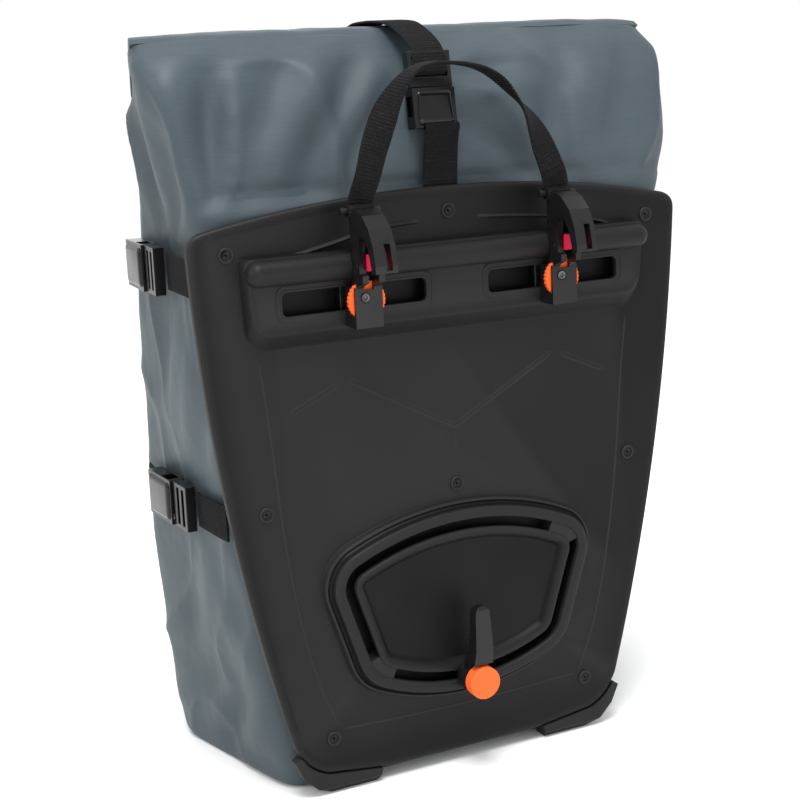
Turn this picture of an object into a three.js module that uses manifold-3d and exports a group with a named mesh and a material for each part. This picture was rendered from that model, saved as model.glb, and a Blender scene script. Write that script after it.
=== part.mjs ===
// Roll-top bicycle pannier: a fabric bag riveted to a moulded back plate, with two rail hooks that slide
// along a bar, a lower hook that travels in a curved track, a rolled closure held by a buckled strap, and
// four buckled side straps. Millimetres, +Z up, +X to the right of someone who faces the plate.
// The origin is the middle of the flat bottom of the bag. The plate faces -Y.
import * as THREE from "three";
import { mergeVertices } from "three/addons/utils/BufferGeometryUtils.js";
import Module from "manifold-3d";

const wasm = await Module();
wasm.setup();

// ---- Driving dimensions -------------------------------------------------------------------------------
// Depths are measured backwards from the front face of the plate; the whole model is moved by PLATE_FRONT.
const PLATE_FRONT = -74;
const GAP = 0.4;
const DEGREE = Math.PI / 180;

const PLATE_THICKNESS = 5.5;
const PLATE_TOP_HALF_WIDTH = 152.5;
const PLATE_TOP_CORNER = 316;
const PLATE_ARCH_TOP = 341;
const PLATE_BOTTOM_HALF_WIDTH = 108;
const PLATE_BOTTOM_CORNER = 32;
const PLATE_BOTTOM = 8;
const PLATE_SIDE_BULGE = 16.6;

const RAIL_HALF_LENGTH = 126;
const RAIL_FACE_DEPTH = -8.5;
const RAIL_BOTTOM = 262;
const RAIL_TOP = 312;
const BAR_RADIUS = 7;
const BAR_DEPTH = -9.5;
const BAR_HEIGHT = 304;
const BAR_HALF_LENGTH = 118;
const SLOT_INNER = 19.5;
const SLOT_OUTER = 105;
const SLOT_BOTTOM = 280;
const SLOT_TOP = 293;
const CHANNEL_BACK = 2.5;
const CHANNEL_FRONT = -5.5;
const CHANNEL_MARGIN = 3;

const SHIELD_FACE_DEPTH = -9;
const SHIELD_BOTTOM_CENTRE = 180;
const SHIELD_BOTTOM_RADIUS = 136;
const SHIELD_TOP_CENTRE = -9;
const SHIELD_TOP_RADIUS = 171;
const SHIELD_LOWER_CORNER = 30;
const SHIELD_UPPER_CORNER = 26;
const SHIELD_CORNER_ANGLE = 25;
const TRACK_INSET = 11;
const TRACK_WIDTH = 6;
const TRACK_UNDERCUT = 3;
const TRACK_MIDDLE_RADIUS = SHIELD_BOTTOM_RADIUS - TRACK_INSET - TRACK_WIDTH / 2;
const LOWER_HOOK_HEIGHT = SHIELD_BOTTOM_CENTRE - TRACK_MIDDLE_RADIUS;
const PANEL_INSET = 25;
const PANEL_DEPTH = -4.5;

const HOOK_SPACING = 61;
const HOOK_HALF_WIDTH = 6.5;
const BLOCK_HALF_WIDTH = 8;
const WHEEL_HEIGHT = 286;
const WHEEL_RADIUS = 11;
const WHEEL_RIDGES = 30;
const WHEEL_RIDGE_DEPTH = 0.6;
const WHEEL_FRONT = -20.2;
const WHEEL_BACK = -17;
const BLOCK_FRONT = -22.5;
const BLOCK_BACK = -9.3;
const BLOCK_BOTTOM = 271.5;
const BLOCK_TOP = 293.5;
const STEM_RADIUS = 4;
const CATCH_PIVOT = [-21.5, 305];
const CATCH_HALF_WIDTH = 2.4;
const CATCH_POCKET = { half: 3, front: -31, back: -18.3, bottom: 292, top: 321.5 };
const CLAW_SLOT = { left: -0.2, right: 3.4, front: -47, back: -36, bottom: 304.5, top: 318 };
const PIN_RADIUS = 1.2;
const PIN_HALF_LENGTH = 6.4;
const PIN_CLEARANCE = 0.3;
const SCREW = { across: -2.2, height: 288, radius: 2.5, front: -23, back: -21.6, socket: 1.2 };
const SLIDE = { half: 5.5, front: -17, back: -13.4, bottom: 313, top: 332 };
const CROSSBAR = { depth: -15.2, height: 333.5, radius: 2, half: 11.5 };
const NUT_HALF_WIDTH = 9;
const NUT_OVERLAP = 2;

const CARRIER_HALF = 5;
const LOWER_DISC_RADIUS = 9;
const LOWER_HUB_RADIUS = 9.5;
const LOWER_HUB_FRONT = -19.6;
const LOWER_HUB_BACK = -13.4;
const LOWER_PIN_HOLE = 3;
const LOWER_ARM_HALF_WIDTH = 6.4;
const LOWER_ARM_TIP_RADIUS = 4.6;
const KNOB_RADIUS = 9.5;
const KNOB_FRONT = -27.5;
const KNOB_BACK = -20;

const STRAP_WIDTH = 20;
const STRAP_THICKNESS = 1.4;
const BUCKLE_HALF_WIDTH = 13;
const BUCKLE_THICKNESS = 9;
const TOP_FEMALE_LENGTH = 21.5;
const SIDE_FEMALE_LENGTH = 34;
const MALE_LENGTH = 20;
const MALE_SLOTS = [[6, 9.5], [13, 16.5]];
const SIDE_WINDOW_START = 4;
const SIDE_WINDOW_END = 15;
const BUCKLE_WALL = 1.3;
const PRONG_LENGTH = 16.5;
const TOP_STRAP_X = -5;
const PLATE_STRAP_X = -2;
const HANDLE_FRONT = -25;
const HANDLE_BACK = -15.5;

const BAG_WALL = 2.5;
const RING_POINTS = 36;
const CORNER_POWER = 0.2;
// Each ring of the bag: depth and height at the back, depth and height at the front, half width at the
// back and at the front. The bottom ring is the flat base, and the top ring is the sloping mouth.
const BAG_RINGS = [
  [16, 0, 130, 0, 104, 131],
  [11, 5, 137, 5, 108, 135],
  [7.5, 22, 142, 22, 112, 139],
  [6.2, 60, 146, 60, 119, 140],
  [6.2, 130, 148, 130, 131, 142],
  [6.2, 210, 148, 205, 141, 142],
  [6.2, 290, 146, 280, 147, 140],
  [6.3, 335, 142, 318, 153, 139],
  [8.5, 362, 137, 342, 159, 141],
  [14, 390, 130, 364, 164, 143],
  [25, 410, 121, 380, 166, 143],
  [43, 424.5, 111, 391.5, 164, 141],
];

const GUARD_OUTLINE = [
  [54, 10], [57, 0], [86, 0], [96, 5], [104, 13], [109, 24], [106, 26], [84, 18], [60, 12],
];
const GUARD_FRONT = -0.6;
const GUARD_BACK = 12.5;

const RIVETS = {
  rivet_top_left: [-131.5, 314.4],
  rivet_top_centre: [0, 327.2],
  rivet_top_right: [131.5, 314.4],
  rivet_middle_left: [-117.5, 171.9],
  rivet_centre: [0, 171],
  rivet_middle_right: [117.5, 171.9],
  rivet_bottom_left: [-84.6, 33.8],
  rivet_bottom_right: [84.6, 33.8],
};
const RIVET_HEAD_RADIUS = 4.2;
const RIVET_SHANK_RADIUS = 2;

// ---- Materials ----------------------------------------------------------------------------------------
function plastic(colour) {
  return new THREE.MeshStandardMaterial({ color: colour, roughness: 0.55, metalness: 0 });
}
const MATERIALS = {
  plate: plastic(0x232224),
  hook: plastic(0x1a1a1c),
  buckle: plastic(0x161719),
  orange: plastic(0xff7322),
  red: plastic(0xb0183a),
  fabric: new THREE.MeshStandardMaterial({ color: 0x5c6b75, roughness: 0.7, metalness: 0 }),
  webbing: new THREE.MeshStandardMaterial({ color: 0x1c1d20, roughness: 0.9, metalness: 0 }),
  steel: new THREE.MeshStandardMaterial({ color: 0x8d8f92, roughness: 0.35, metalness: 1 }),
};

// ---- Making and joining solids ------------------------------------------------------------------------
function solid(geometry) {
  const bare = geometry.clone();
  bare.deleteAttribute("normal");
  bare.deleteAttribute("uv");
  const merged = mergeVertices(bare, 1e-3);
  const index = merged.index.array;
  const triangles = [];
  for (let i = 0; i < index.length; i += 3) {
    const [a, b, c] = [index[i], index[i + 1], index[i + 2]];
    if (a !== b && b !== c && c !== a) triangles.push(a, b, c);
  }
  return new wasm.Manifold(new wasm.Mesh({
    numProp: 3,
    vertProperties: new Float32Array(merged.attributes.position.array),
    triVerts: new Uint32Array(triangles),
  }));
}

function geometryOf(body) {
  const mesh = body.getMesh();
  const geometry = new THREE.BufferGeometry();
  geometry.setAttribute("position", new THREE.BufferAttribute(new Float32Array(mesh.vertProperties), 3));
  geometry.setIndex(new THREE.BufferAttribute(new Uint32Array(mesh.triVerts), 1));
  return geometry;
}

function named(name, body, material, parent) {
  const mesh = new THREE.Mesh(geometryOf(body), material);
  mesh.name = name;
  parent.add(mesh);
  return mesh;
}

// A flat shape drawn in X and Z, filled from the depth `front` back to the depth `back`.
function plateSolid(shape, front, back, segments = 6) {
  const geometry = new THREE.ExtrudeGeometry(shape, {
    depth: back - front,
    bevelEnabled: false,
    curveSegments: segments,
  });
  geometry.rotateX(Math.PI / 2);
  geometry.translate(0, back, 0);
  return solid(geometry);
}

// A side profile of [depth, height] points, filled from xLow to xHigh.
function profileSolid(points, xLow, xHigh) {
  const shape = new THREE.Shape(points.map(([y, z]) => new THREE.Vector2(y, z)));
  const geometry = new THREE.ExtrudeGeometry(shape, { depth: xHigh - xLow, bevelEnabled: false });
  const turn = new THREE.Matrix4().set(0, 0, 1, xLow, 1, 0, 0, 0, 0, 1, 0, 0, 0, 0, 0, 1);
  geometry.applyMatrix4(turn);
  return solid(geometry);
}

// A plan outline of [x, depth] points, filled from zLow to zHigh.
function planSolid(points, zLow, zHigh) {
  const shape = new THREE.Shape(points.map(([x, y]) => new THREE.Vector2(x, y)));
  const geometry = new THREE.ExtrudeGeometry(shape, { depth: zHigh - zLow, bevelEnabled: false });
  geometry.translate(0, 0, zLow);
  return solid(geometry);
}

function block(xLow, xHigh, yLow, yHigh, zLow, zHigh) {
  const geometry = new THREE.BoxGeometry(xHigh - xLow, yHigh - yLow, zHigh - zLow);
  geometry.translate((xLow + xHigh) / 2, (yLow + yHigh) / 2, (zLow + zHigh) / 2);
  return solid(geometry);
}

// A round solid about an axis along Y through x, z.
function disc(x, z, radius, front, back, sides = 24) {
  const geometry = new THREE.CylinderGeometry(radius, radius, back - front, sides);
  geometry.translate(x, (front + back) / 2, z);
  return solid(geometry);
}

// A round solid about an axis along X through depth y, height z.
function rod(y, z, radius, xLow, xHigh, sides = 20) {
  const geometry = new THREE.CylinderGeometry(radius, radius, xHigh - xLow, sides);
  geometry.rotateZ(Math.PI / 2);
  geometry.translate((xLow + xHigh) / 2, y, z);
  return solid(geometry);
}

// The two long edges of a strap of even thickness that follows a flat path of points.
function strapOutline(path) {
  const outer = [];
  const inner = [];
  for (let i = 0; i < path.length; i += 1) {
    const before = path[Math.max(i - 1, 0)];
    const after = path[Math.min(i + 1, path.length - 1)];
    const run = Math.hypot(after[0] - before[0], after[1] - before[1]);
    const acrossX = (-(after[1] - before[1]) / run) * (STRAP_THICKNESS / 2);
    const acrossY = ((after[0] - before[0]) / run) * (STRAP_THICKNESS / 2);
    outer.push([path[i][0] + acrossX, path[i][1] + acrossY]);
    inner.unshift([path[i][0] - acrossX, path[i][1] - acrossY]);
  }
  return outer.concat(inner);
}

// ---- Back plate ---------------------------------------------------------------------------------------
function plateShape(margin = 0) {
  const side = PLATE_TOP_HALF_WIDTH + margin;
  const low = PLATE_BOTTOM_HALF_WIDTH + margin;
  const foot = PLATE_BOTTOM - margin;
  const arch = PLATE_ARCH_TOP + margin;
  const middleX = (side + low) / 2 + PLATE_SIDE_BULGE;
  const middleZ = (PLATE_TOP_CORNER + PLATE_BOTTOM_CORNER) / 2;
  const shape = new THREE.Shape();
  shape.moveTo(-50, foot);
  shape.lineTo(50, foot);
  shape.lineTo(88, foot + 5);
  shape.quadraticCurveTo(low - 7, foot + 9, low, PLATE_BOTTOM_CORNER);
  shape.quadraticCurveTo(middleX, middleZ, side, PLATE_TOP_CORNER);
  shape.quadraticCurveTo(side + 0.5, arch - 16, side - 10, arch - 14);
  shape.quadraticCurveTo(75, arch, 0, arch);
  shape.quadraticCurveTo(-75, arch, 10 - side, arch - 14);
  shape.quadraticCurveTo(-side - 0.5, arch - 16, -side, PLATE_TOP_CORNER);
  shape.quadraticCurveTo(-middleX, middleZ, -low, PLATE_BOTTOM_CORNER);
  shape.quadraticCurveTo(7 - low, foot + 9, -88, foot + 5);
  shape.closePath();
  return shape;
}

// The shield outline, moved inwards by `inset` all round: four tangent arcs on each side.
function shieldShape(inset) {
  const angle = SHIELD_CORNER_ANGLE * DEGREE;
  const lowerReach = SHIELD_BOTTOM_RADIUS - SHIELD_LOWER_CORNER;
  const upperReach = SHIELD_TOP_RADIUS - SHIELD_UPPER_CORNER;
  const lower = [lowerReach * Math.sin(angle), SHIELD_BOTTOM_CENTRE - lowerReach * Math.cos(angle)];
  const upper = [upperReach * Math.sin(angle), SHIELD_TOP_CENTRE + upperReach * Math.cos(angle)];
  const rise = Math.atan2(upper[1] - lower[1], upper[0] - lower[0]);
  const distance = Math.hypot(upper[0] - lower[0], upper[1] - lower[1]);
  const side = rise - Math.acos((SHIELD_LOWER_CORNER - SHIELD_UPPER_CORNER) / distance);
  const right = Math.PI / 2;
  const lowerRadius = SHIELD_LOWER_CORNER - inset;
  const upperRadius = SHIELD_UPPER_CORNER - inset;
  const shape = new THREE.Shape();
  shape.absarc(0, SHIELD_BOTTOM_CENTRE, SHIELD_BOTTOM_RADIUS - inset, -right - angle, -right + angle);
  shape.absarc(lower[0], lower[1], lowerRadius, -right + angle, side);
  shape.absarc(upper[0], upper[1], upperRadius, side, right - angle);
  shape.absarc(0, SHIELD_TOP_CENTRE, SHIELD_TOP_RADIUS - inset, right - angle, right + angle);
  shape.absarc(-upper[0], upper[1], upperRadius, right + angle, Math.PI - side);
  shape.absarc(-lower[0], lower[1], lowerRadius, Math.PI - side, Math.PI + right - angle);
  return shape;
}

// A closed loop between two insets of the shield outline, cut by the two bridges that carry the middle.
function trackSolid(outerInset, innerInset, front, back) {
  const loop = plateSolid(shieldShape(outerInset), front, back)
    .subtract(plateSolid(shieldShape(innerInset), front - 1, back + 1));
  const lowBridge = block(-66, -46, front - 1, back + 1, 62, 86);
  const highBridge = block(52, 79, front - 1, back + 1, 126, 150);
  return loop.subtract(lowBridge).subtract(highBridge);
}

function railSolid() {
  const half = RAIL_HALF_LENGTH;
  const face = new THREE.Shape();
  face.moveTo(-half + 14, RAIL_BOTTOM);
  face.lineTo(half - 14, RAIL_BOTTOM);
  face.quadraticCurveTo(half - 3, RAIL_BOTTOM, half - 2, RAIL_BOTTOM + 12);
  face.lineTo(half, RAIL_TOP - 14);
  face.quadraticCurveTo(half, RAIL_TOP, half - 12, RAIL_TOP);
  face.lineTo(-half + 12, RAIL_TOP);
  face.quadraticCurveTo(-half, RAIL_TOP, -half, RAIL_TOP - 14);
  face.lineTo(-half + 2, RAIL_BOTTOM + 12);
  face.quadraticCurveTo(-half + 3, RAIL_BOTTOM, -half + 14, RAIL_BOTTOM);
  const bar = new THREE.CapsuleGeometry(BAR_RADIUS, 2 * BAR_HALF_LENGTH, 4, 20);
  bar.rotateZ(Math.PI / 2);
  bar.translate(0, BAR_DEPTH, BAR_HEIGHT);
  return plateSolid(face, RAIL_FACE_DEPTH, 1).add(solid(bar));
}

function railSlots() {
  const slots = [];
  for (const side of [-1, 1]) {
    const low = Math.min(side * SLOT_INNER, side * SLOT_OUTER);
    const high = Math.max(side * SLOT_INNER, side * SLOT_OUTER);
    const margin = CHANNEL_MARGIN;
    slots.push(block(low, high, RAIL_FACE_DEPTH - 5, CHANNEL_FRONT + 1, SLOT_BOTTOM, SLOT_TOP));
    slots.push(block(low - margin, high + margin, CHANNEL_FRONT, CHANNEL_BACK,
      SLOT_BOTTOM - margin, SLOT_TOP + margin));
  }
  return slots;
}

function backPlate() {
  const trackInner = TRACK_INSET + TRACK_WIDTH;
  let plate = plateSolid(plateShape(), 0, PLATE_THICKNESS, 12)
    .add(railSolid())
    .add(plateSolid(shieldShape(0), SHIELD_FACE_DEPTH, 1));
  plate = plate
    .subtract(plateSolid(shieldShape(PANEL_INSET), SHIELD_FACE_DEPTH - 1, PANEL_DEPTH))
    .subtract(trackSolid(TRACK_INSET, trackInner, SHIELD_FACE_DEPTH - 1, CHANNEL_FRONT + 1))
    .subtract(trackSolid(TRACK_INSET - TRACK_UNDERCUT, trackInner + TRACK_UNDERCUT, CHANNEL_FRONT,
      CHANNEL_BACK));
  for (const slot of railSlots()) plate = plate.subtract(slot);
  for (const [x, z] of Object.values(RIVETS)) {
    plate = plate.subtract(disc(x, z, RIVET_SHANK_RADIUS + 0.3, -1, PLATE_THICKNESS + 1, 12));
  }
  return plate;
}

function rivet(x, z) {
  const head = disc(x, z, RIVET_HEAD_RADIUS, -2, -0.3, 16);
  return head.add(disc(x, z, RIVET_SHANK_RADIUS, -1, PLATE_THICKNESS, 12));
}

// ---- Bag ----------------------------------------------------------------------------------------------
// A loft through the rings, pulled inwards by `inset`, with `lift` added above the top ring.
function bagLoft(inset, lift) {
  const rings = BAG_RINGS.map(([backY, backZ, frontY, frontZ, backWidth, frontWidth], i) => {
    const raise = i === 0 ? inset : 0;
    return [backY + inset, backZ + raise, frontY - inset, frontZ + raise, backWidth - inset,
      frontWidth - inset];
  });
  if (lift > 0) {
    const [backY, backZ, frontY, frontZ, backWidth, frontWidth] = rings[rings.length - 1];
    rings.push([backY + lift / 2, backZ + lift, frontY + lift / 2, frontZ + lift, backWidth, frontWidth]);
  }
  const positions = [];
  for (const [backY, backZ, frontY, frontZ, backWidth, frontWidth] of rings) {
    for (let i = 0; i < RING_POINTS; i += 1) {
      const turn = (2 * Math.PI * i) / RING_POINTS;
      const along = Math.sign(Math.sin(turn)) * Math.abs(Math.sin(turn)) ** CORNER_POWER;
      const across = Math.sign(Math.cos(turn)) * Math.abs(Math.cos(turn)) ** CORNER_POWER;
      const share = (along + 1) / 2;
      positions.push(
        across * (backWidth + (frontWidth - backWidth) * share),
        backY + (frontY - backY) * share,
        backZ + (frontZ - backZ) * share,
      );
    }
  }
  const indices = [];
  for (let ring = 0; ring < rings.length - 1; ring += 1) {
    for (let i = 0; i < RING_POINTS; i += 1) {
      const next = (i + 1) % RING_POINTS;
      const low = ring * RING_POINTS;
      const high = low + RING_POINTS;
      indices.push(low + i, low + next, high + next, low + i, high + next, high + i);
    }
  }
  const top = (rings.length - 1) * RING_POINTS;
  for (let i = 1; i < RING_POINTS - 1; i += 1) {
    indices.push(0, i + 1, i, top, top + i, top + i + 1);
  }
  const geometry = new THREE.BufferGeometry();
  geometry.setAttribute("position", new THREE.Float32BufferAttribute(positions, 3));
  geometry.setIndex(indices);
  return solid(geometry);
}

function bagBody() {
  return bagLoft(0, 0).subtract(bagLoft(BAG_WALL, 16));
}

// The roll that closes the mouth: it lies on the sloping rim, and its ends stand over the bag's sides.
function rolledClosure() {
  const section = [
    [45, 425], [52, 426.6], [68, 427], [86, 425.5], [99, 419], [108, 409], [113, 398], [113.2, 393],
    [104, 396.6], [75, 410.5],
  ];
  const plan = [[-165, 40], [165, 40], [141, 116], [-141, 116]];
  return profileSolid(section, -166, 166).intersect(planSolid(plan, 380, 440));
}

// A foot under each lower corner of the plate: it hugs the plate's rounded corner and reaches the ground.
function cornerGuard(side) {
  const shape = new THREE.Shape(GUARD_OUTLINE.map(([x, z]) => new THREE.Vector2(side * x, z)));
  const slope = profileSolid([[GUARD_FRONT - 0.4, 5], [GUARD_FRONT - 0.4, -1], [4, -1]], -120, 120);
  return plateSolid(shape, GUARD_FRONT, GUARD_BACK)
    .subtract(slope)
    .subtract(plateSolid(plateShape(GAP), GUARD_FRONT - 1, PLATE_THICKNESS + GAP, 12))
    .subtract(bagLoft(-GAP, 0))
    .subtract(block(-120, 120, PLATE_THICKNESS + GAP - 0.1, GUARD_BACK + 1, PLATE_BOTTOM, 40));
}

// ---- Rail hooks ---------------------------------------------------------------------------------------
const HOOK_PROFILE = [
  [-9.3, 271.5], [-9.3, 293.5], [-14.5, 294.5], [-17.8, 299], [-18.1, 303], [-17.4, 308], [-14.6, 311.6],
  [-17.6, 313], [-17.6, 332], [-20, 334.5], [-24.5, 334.5], [-31, 332], [-38, 326], [-43, 317], [-45.5, 307],
  [-45.5, 303], [-41, 302.5], [-39.5, 308], [-37, 314.5], [-33, 319.5], [-29, 321], [-26.4, 319],
  [-25.8, 301], [-29.5, 300.4], [-29.5, 296.5], [-24, 294.5], [-22.5, 293], [-22.5, 271.5],
];
const CATCH_PROFILE = [
  [-18.6, 305], [-19.6, 308], [-22, 309.6], [-26.5, 311.4], [-31, 311.6], [-34.5, 309], [-34.5, 303.6],
  [-27, 302.4], [-22, 302], [-19.4, 302.8],
];

function hookBody(x) {
  const pocket = CATCH_POCKET;
  const slot = CLAW_SLOT;
  const half = BLOCK_HALF_WIDTH;
  return profileSolid(HOOK_PROFILE, x - HOOK_HALF_WIDTH, x + HOOK_HALF_WIDTH)
    .add(block(x - half, x + half, BLOCK_FRONT, BLOCK_BACK, BLOCK_BOTTOM, BLOCK_TOP))
    .subtract(disc(x, WHEEL_HEIGHT, WHEEL_RADIUS + GAP, WHEEL_FRONT - GAP, WHEEL_BACK + GAP))
    .subtract(disc(x, WHEEL_HEIGHT, STEM_RADIUS + GAP, WHEEL_BACK, BLOCK_BACK + 1, 16))
    .subtract(block(x - pocket.half, x + pocket.half, pocket.front, pocket.back, pocket.bottom, pocket.top))
    .subtract(block(x + slot.left, x + slot.right, slot.front, slot.back, slot.bottom, slot.top))
    .subtract(pinHole(x))
    .subtract(disc(x + SCREW.across, SCREW.height, SCREW.radius + GAP, SCREW.front - 1, SCREW.back + GAP));
}

function pinHole(x) {
  const reach = HOOK_HALF_WIDTH + 1;
  return rod(CATCH_PIVOT[0], CATCH_PIVOT[1], PIN_RADIUS + PIN_CLEARANCE, x - reach, x + reach, 12);
}

function hookPin(x) {
  return rod(CATCH_PIVOT[0], CATCH_PIVOT[1], PIN_RADIUS, x - PIN_HALF_LENGTH, x + PIN_HALF_LENGTH, 12);
}

function hookCatch(x) {
  return profileSolid(CATCH_PROFILE, x - CATCH_HALF_WIDTH, x + CATCH_HALF_WIDTH).subtract(pinHole(x));
}

// The slide that the handle pulls up: a flat bar behind the hook with a crossbar for the webbing.
function releaseSlide(x) {
  return block(x - SLIDE.half, x + SLIDE.half, SLIDE.front, SLIDE.back, SLIDE.bottom, SLIDE.top)
    .add(rod(CROSSBAR.depth, CROSSBAR.height, CROSSBAR.radius, x - CROSSBAR.half, x + CROSSBAR.half, 10));
}

// The clamp runs inside the rail's channel: a nut plate with a round stem out through the slot.
function clampNut(x) {
  return block(x - NUT_HALF_WIDTH, x + NUT_HALF_WIDTH, CHANNEL_FRONT + GAP, CHANNEL_BACK - GAP,
    SLOT_BOTTOM - NUT_OVERLAP, SLOT_TOP + NUT_OVERLAP)
    .add(disc(x, WHEEL_HEIGHT, STEM_RADIUS, WHEEL_FRONT, CHANNEL_FRONT + 1, 16));
}

function thumbwheel(x) {
  const shape = new THREE.Shape();
  for (let i = 0; i < 2 * WHEEL_RIDGES; i += 1) {
    const radius = i % 2 === 0 ? WHEEL_RADIUS : WHEEL_RADIUS - WHEEL_RIDGE_DEPTH;
    const angle = (Math.PI * i) / WHEEL_RIDGES;
    const point = [x + radius * Math.cos(angle), WHEEL_HEIGHT + radius * Math.sin(angle)];
    if (i === 0) shape.moveTo(...point);
    else shape.lineTo(...point);
  }
  const hub = disc(x, WHEEL_HEIGHT, STEM_RADIUS + GAP, WHEEL_FRONT - 1, WHEEL_BACK + 1, 16);
  return plateSolid(shape, WHEEL_FRONT, WHEEL_BACK).subtract(hub);
}

function hookScrew(x) {
  const centre = x + SCREW.across;
  return disc(centre, SCREW.height, SCREW.radius, SCREW.front, SCREW.back, 16)
    .subtract(disc(centre, SCREW.height, SCREW.socket, SCREW.front - 1, SCREW.back - 0.6, 6));
}

// ---- Lower hook ---------------------------------------------------------------------------------------
function lowerCarrier() {
  const z = LOWER_HOOK_HEIGHT;
  return block(-CARRIER_HALF - 0.5, CARRIER_HALF + 0.5, CHANNEL_FRONT + GAP, CHANNEL_BACK - GAP,
    z - CARRIER_HALF, z + CARRIER_HALF)
    .add(disc(0, z, TRACK_WIDTH / 2 - GAP, -24.4, CHANNEL_FRONT + 1, 12))
    .add(disc(0, z, LOWER_DISC_RADIUS, LOWER_HUB_BACK + GAP, SHIELD_FACE_DEPTH - GAP));
}

function lowerArm() {
  const z = LOWER_HOOK_HEIGHT;
  const profile = [
    [-13.4, z + 4], [-13.4, z + 13], [-19, z + 18], [-19, z + 44], [-20.4, z + 46], [-24.6, z + 46],
    [-26, z + 44], [-27.5, z + 20], [-25.8, z + 11], [-19.6, z + 10.2], [-19.6, z + 4],
  ];
  const face = new THREE.Shape();
  face.moveTo(-LOWER_ARM_HALF_WIDTH, z + 3);
  face.lineTo(LOWER_ARM_HALF_WIDTH, z + 3);
  face.absarc(0, z + 46 - LOWER_ARM_TIP_RADIUS, LOWER_ARM_TIP_RADIUS, 0.1, Math.PI - 0.1);
  return profileSolid(profile, -LOWER_ARM_HALF_WIDTH, LOWER_ARM_HALF_WIDTH)
    .intersect(plateSolid(face, -30, -12))
    .add(disc(0, z, LOWER_HUB_RADIUS, LOWER_HUB_FRONT, LOWER_HUB_BACK))
    .subtract(disc(0, z, LOWER_PIN_HOLE, LOWER_HUB_FRONT - 1, LOWER_HUB_BACK + 1, 12));
}

function lowerKnob() {
  const z = LOWER_HOOK_HEIGHT;
  return disc(0, z, KNOB_RADIUS, KNOB_FRONT, KNOB_BACK, 28)
    .subtract(disc(0, z, LOWER_PIN_HOLE, -25.4, KNOB_BACK + 1, 12));
}

// ---- Buckles, made about their own mating line: x across, z along the strap, -y outwards --------------
function femaleBuckle(length) {
  const half = BUCKLE_HALF_WIDTH;
  const rib = 3;
  const cavity = block(2 - half, half - 2, BUCKLE_WALL - BUCKLE_THICKNESS, -BUCKLE_WALL,
    -PRONG_LENGTH - 0.8, 1);
  return block(-half, half, -BUCKLE_THICKNESS, 0, -length, 0)
    .subtract(cavity)
    .subtract(block(-half - 1, rib - half, -8, -1, -SIDE_WINDOW_END, -SIDE_WINDOW_START))
    .subtract(block(half - rib, half + 1, -8, -1, -SIDE_WINDOW_END, -SIDE_WINDOW_START))
    .subtract(block(rib - half, half - rib, -BUCKLE_THICKNESS - 1, 1, 1.4 - length, 3.6 - length));
}

function maleBuckle() {
  const half = BUCKLE_HALF_WIDTH;
  const slot = half - 2.5;
  let body = block(-half, half, -7.5, -1.5, GAP, MALE_LENGTH)
    .add(block(-2.6, 2.6, -5.6, -3, -PRONG_LENGTH + 5, 1));
  for (const [low, high] of MALE_SLOTS) body = body.subtract(block(-slot, slot, -9, 1, low, high));
  return body;
}

function prong(side) {
  const outline = [[6.4, -0.1], [10.4, -0.1], [10.4, -4], [9, -6.5], [10.6, -10], [9.6, -14.5],
    [8, -PRONG_LENGTH], [6.6, -PRONG_LENGTH], [6.4, -8]];
  const points = outline.map(([x, z]) => new THREE.Vector2(side * x, z));
  return plateSolid(new THREE.Shape(points), -4.4, -1.8);
}

// Puts a group so that its z runs along `length` and its -y faces `outward`.
function place(group, origin, length, outward) {
  const zAxis = new THREE.Vector3(...length).normalize();
  const yAxis = new THREE.Vector3(...outward).normalize().negate();
  const xAxis = new THREE.Vector3().crossVectors(yAxis, zAxis);
  group.setRotationFromMatrix(new THREE.Matrix4().makeBasis(xAxis, yAxis, zAxis));
  group.position.set(...origin);
}

// ---- Straps -------------------------------------------------------------------------------------------
const HALF_STRAP = STRAP_WIDTH / 2;
const PLATE_STRAP_PATH = [[4.2, 342.4], [3.6, 350], [4.6, 360], [6.8, 370.6]];
const ROLL_STRAP_PATH = [
  [13.6, 415.6], [19.6, 420.6], [29, 425.6], [39, 429], [52, 430], [68, 430.4], [87, 428.8], [101, 421.6],
  [111.2, 410.6], [116.4, 399], [116.8, 395],
];
const ANCHOR_STRAP_PATH = [
  [117.6, 388.5], [124.2, 381.4], [133.2, 364.6], [140.2, 342.6], [145.2, 318.4], [149, 280], [150.4, 250],
];
const SIDE_STRAPS = {
  upper: { height: 303, turn: -3.6, origin: [-147, 66], rear: [[-149.9, 7.4], [-149.3, 20], [-148.4, 45]],
    front: [[-147.6, 101.2], [-145.2, 112], [-142.2, 124]] },
  lower: { height: 168, turn: 2.5, origin: [-140.8, 66], rear: [[-137.4, 7.4], [-138.8, 20], [-140.3, 45]],
    front: [[-144.8, 101.2], [-143.6, 112], [-142.2, 124]] },
};
const HANDLE_PATH = [
  [-60.4, 343], [-57.5, 352], [-53.7, 364.5], [-48.9, 377], [-43.9, 387.6], [-37, 397.6], [-28.5, 404.8],
  [-19.5, 407.4], [-10.7, 407.6], [-1, 406.8], [8.6, 404.8], [17, 401.2], [23.8, 396.4], [31.1, 389],
  [38.8, 380], [45.1, 370], [50.6, 358.3], [54.6, 349], [57, 343],
];

function handleStrap() {
  return plateSolid(new THREE.Shape(strapOutline(HANDLE_PATH).map(([x, z]) => new THREE.Vector2(x, z))),
    HANDLE_FRONT, HANDLE_BACK);
}

// A strap in the line of the top buckle, from its side profile.
function topStrap(path, x) {
  return profileSolid(strapOutline(path), x - HALF_STRAP, x + HALF_STRAP);
}

// A side strap's rear and front runs, as plan outlines for the left side, mirrored for the right.
function sideStrap(path, side, height) {
  const points = strapOutline(path).map(([x, y]) => [-side * x, y]);
  return planSolid(side < 0 ? points : points.reverse(), height - HALF_STRAP, height + HALF_STRAP);
}

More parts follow.
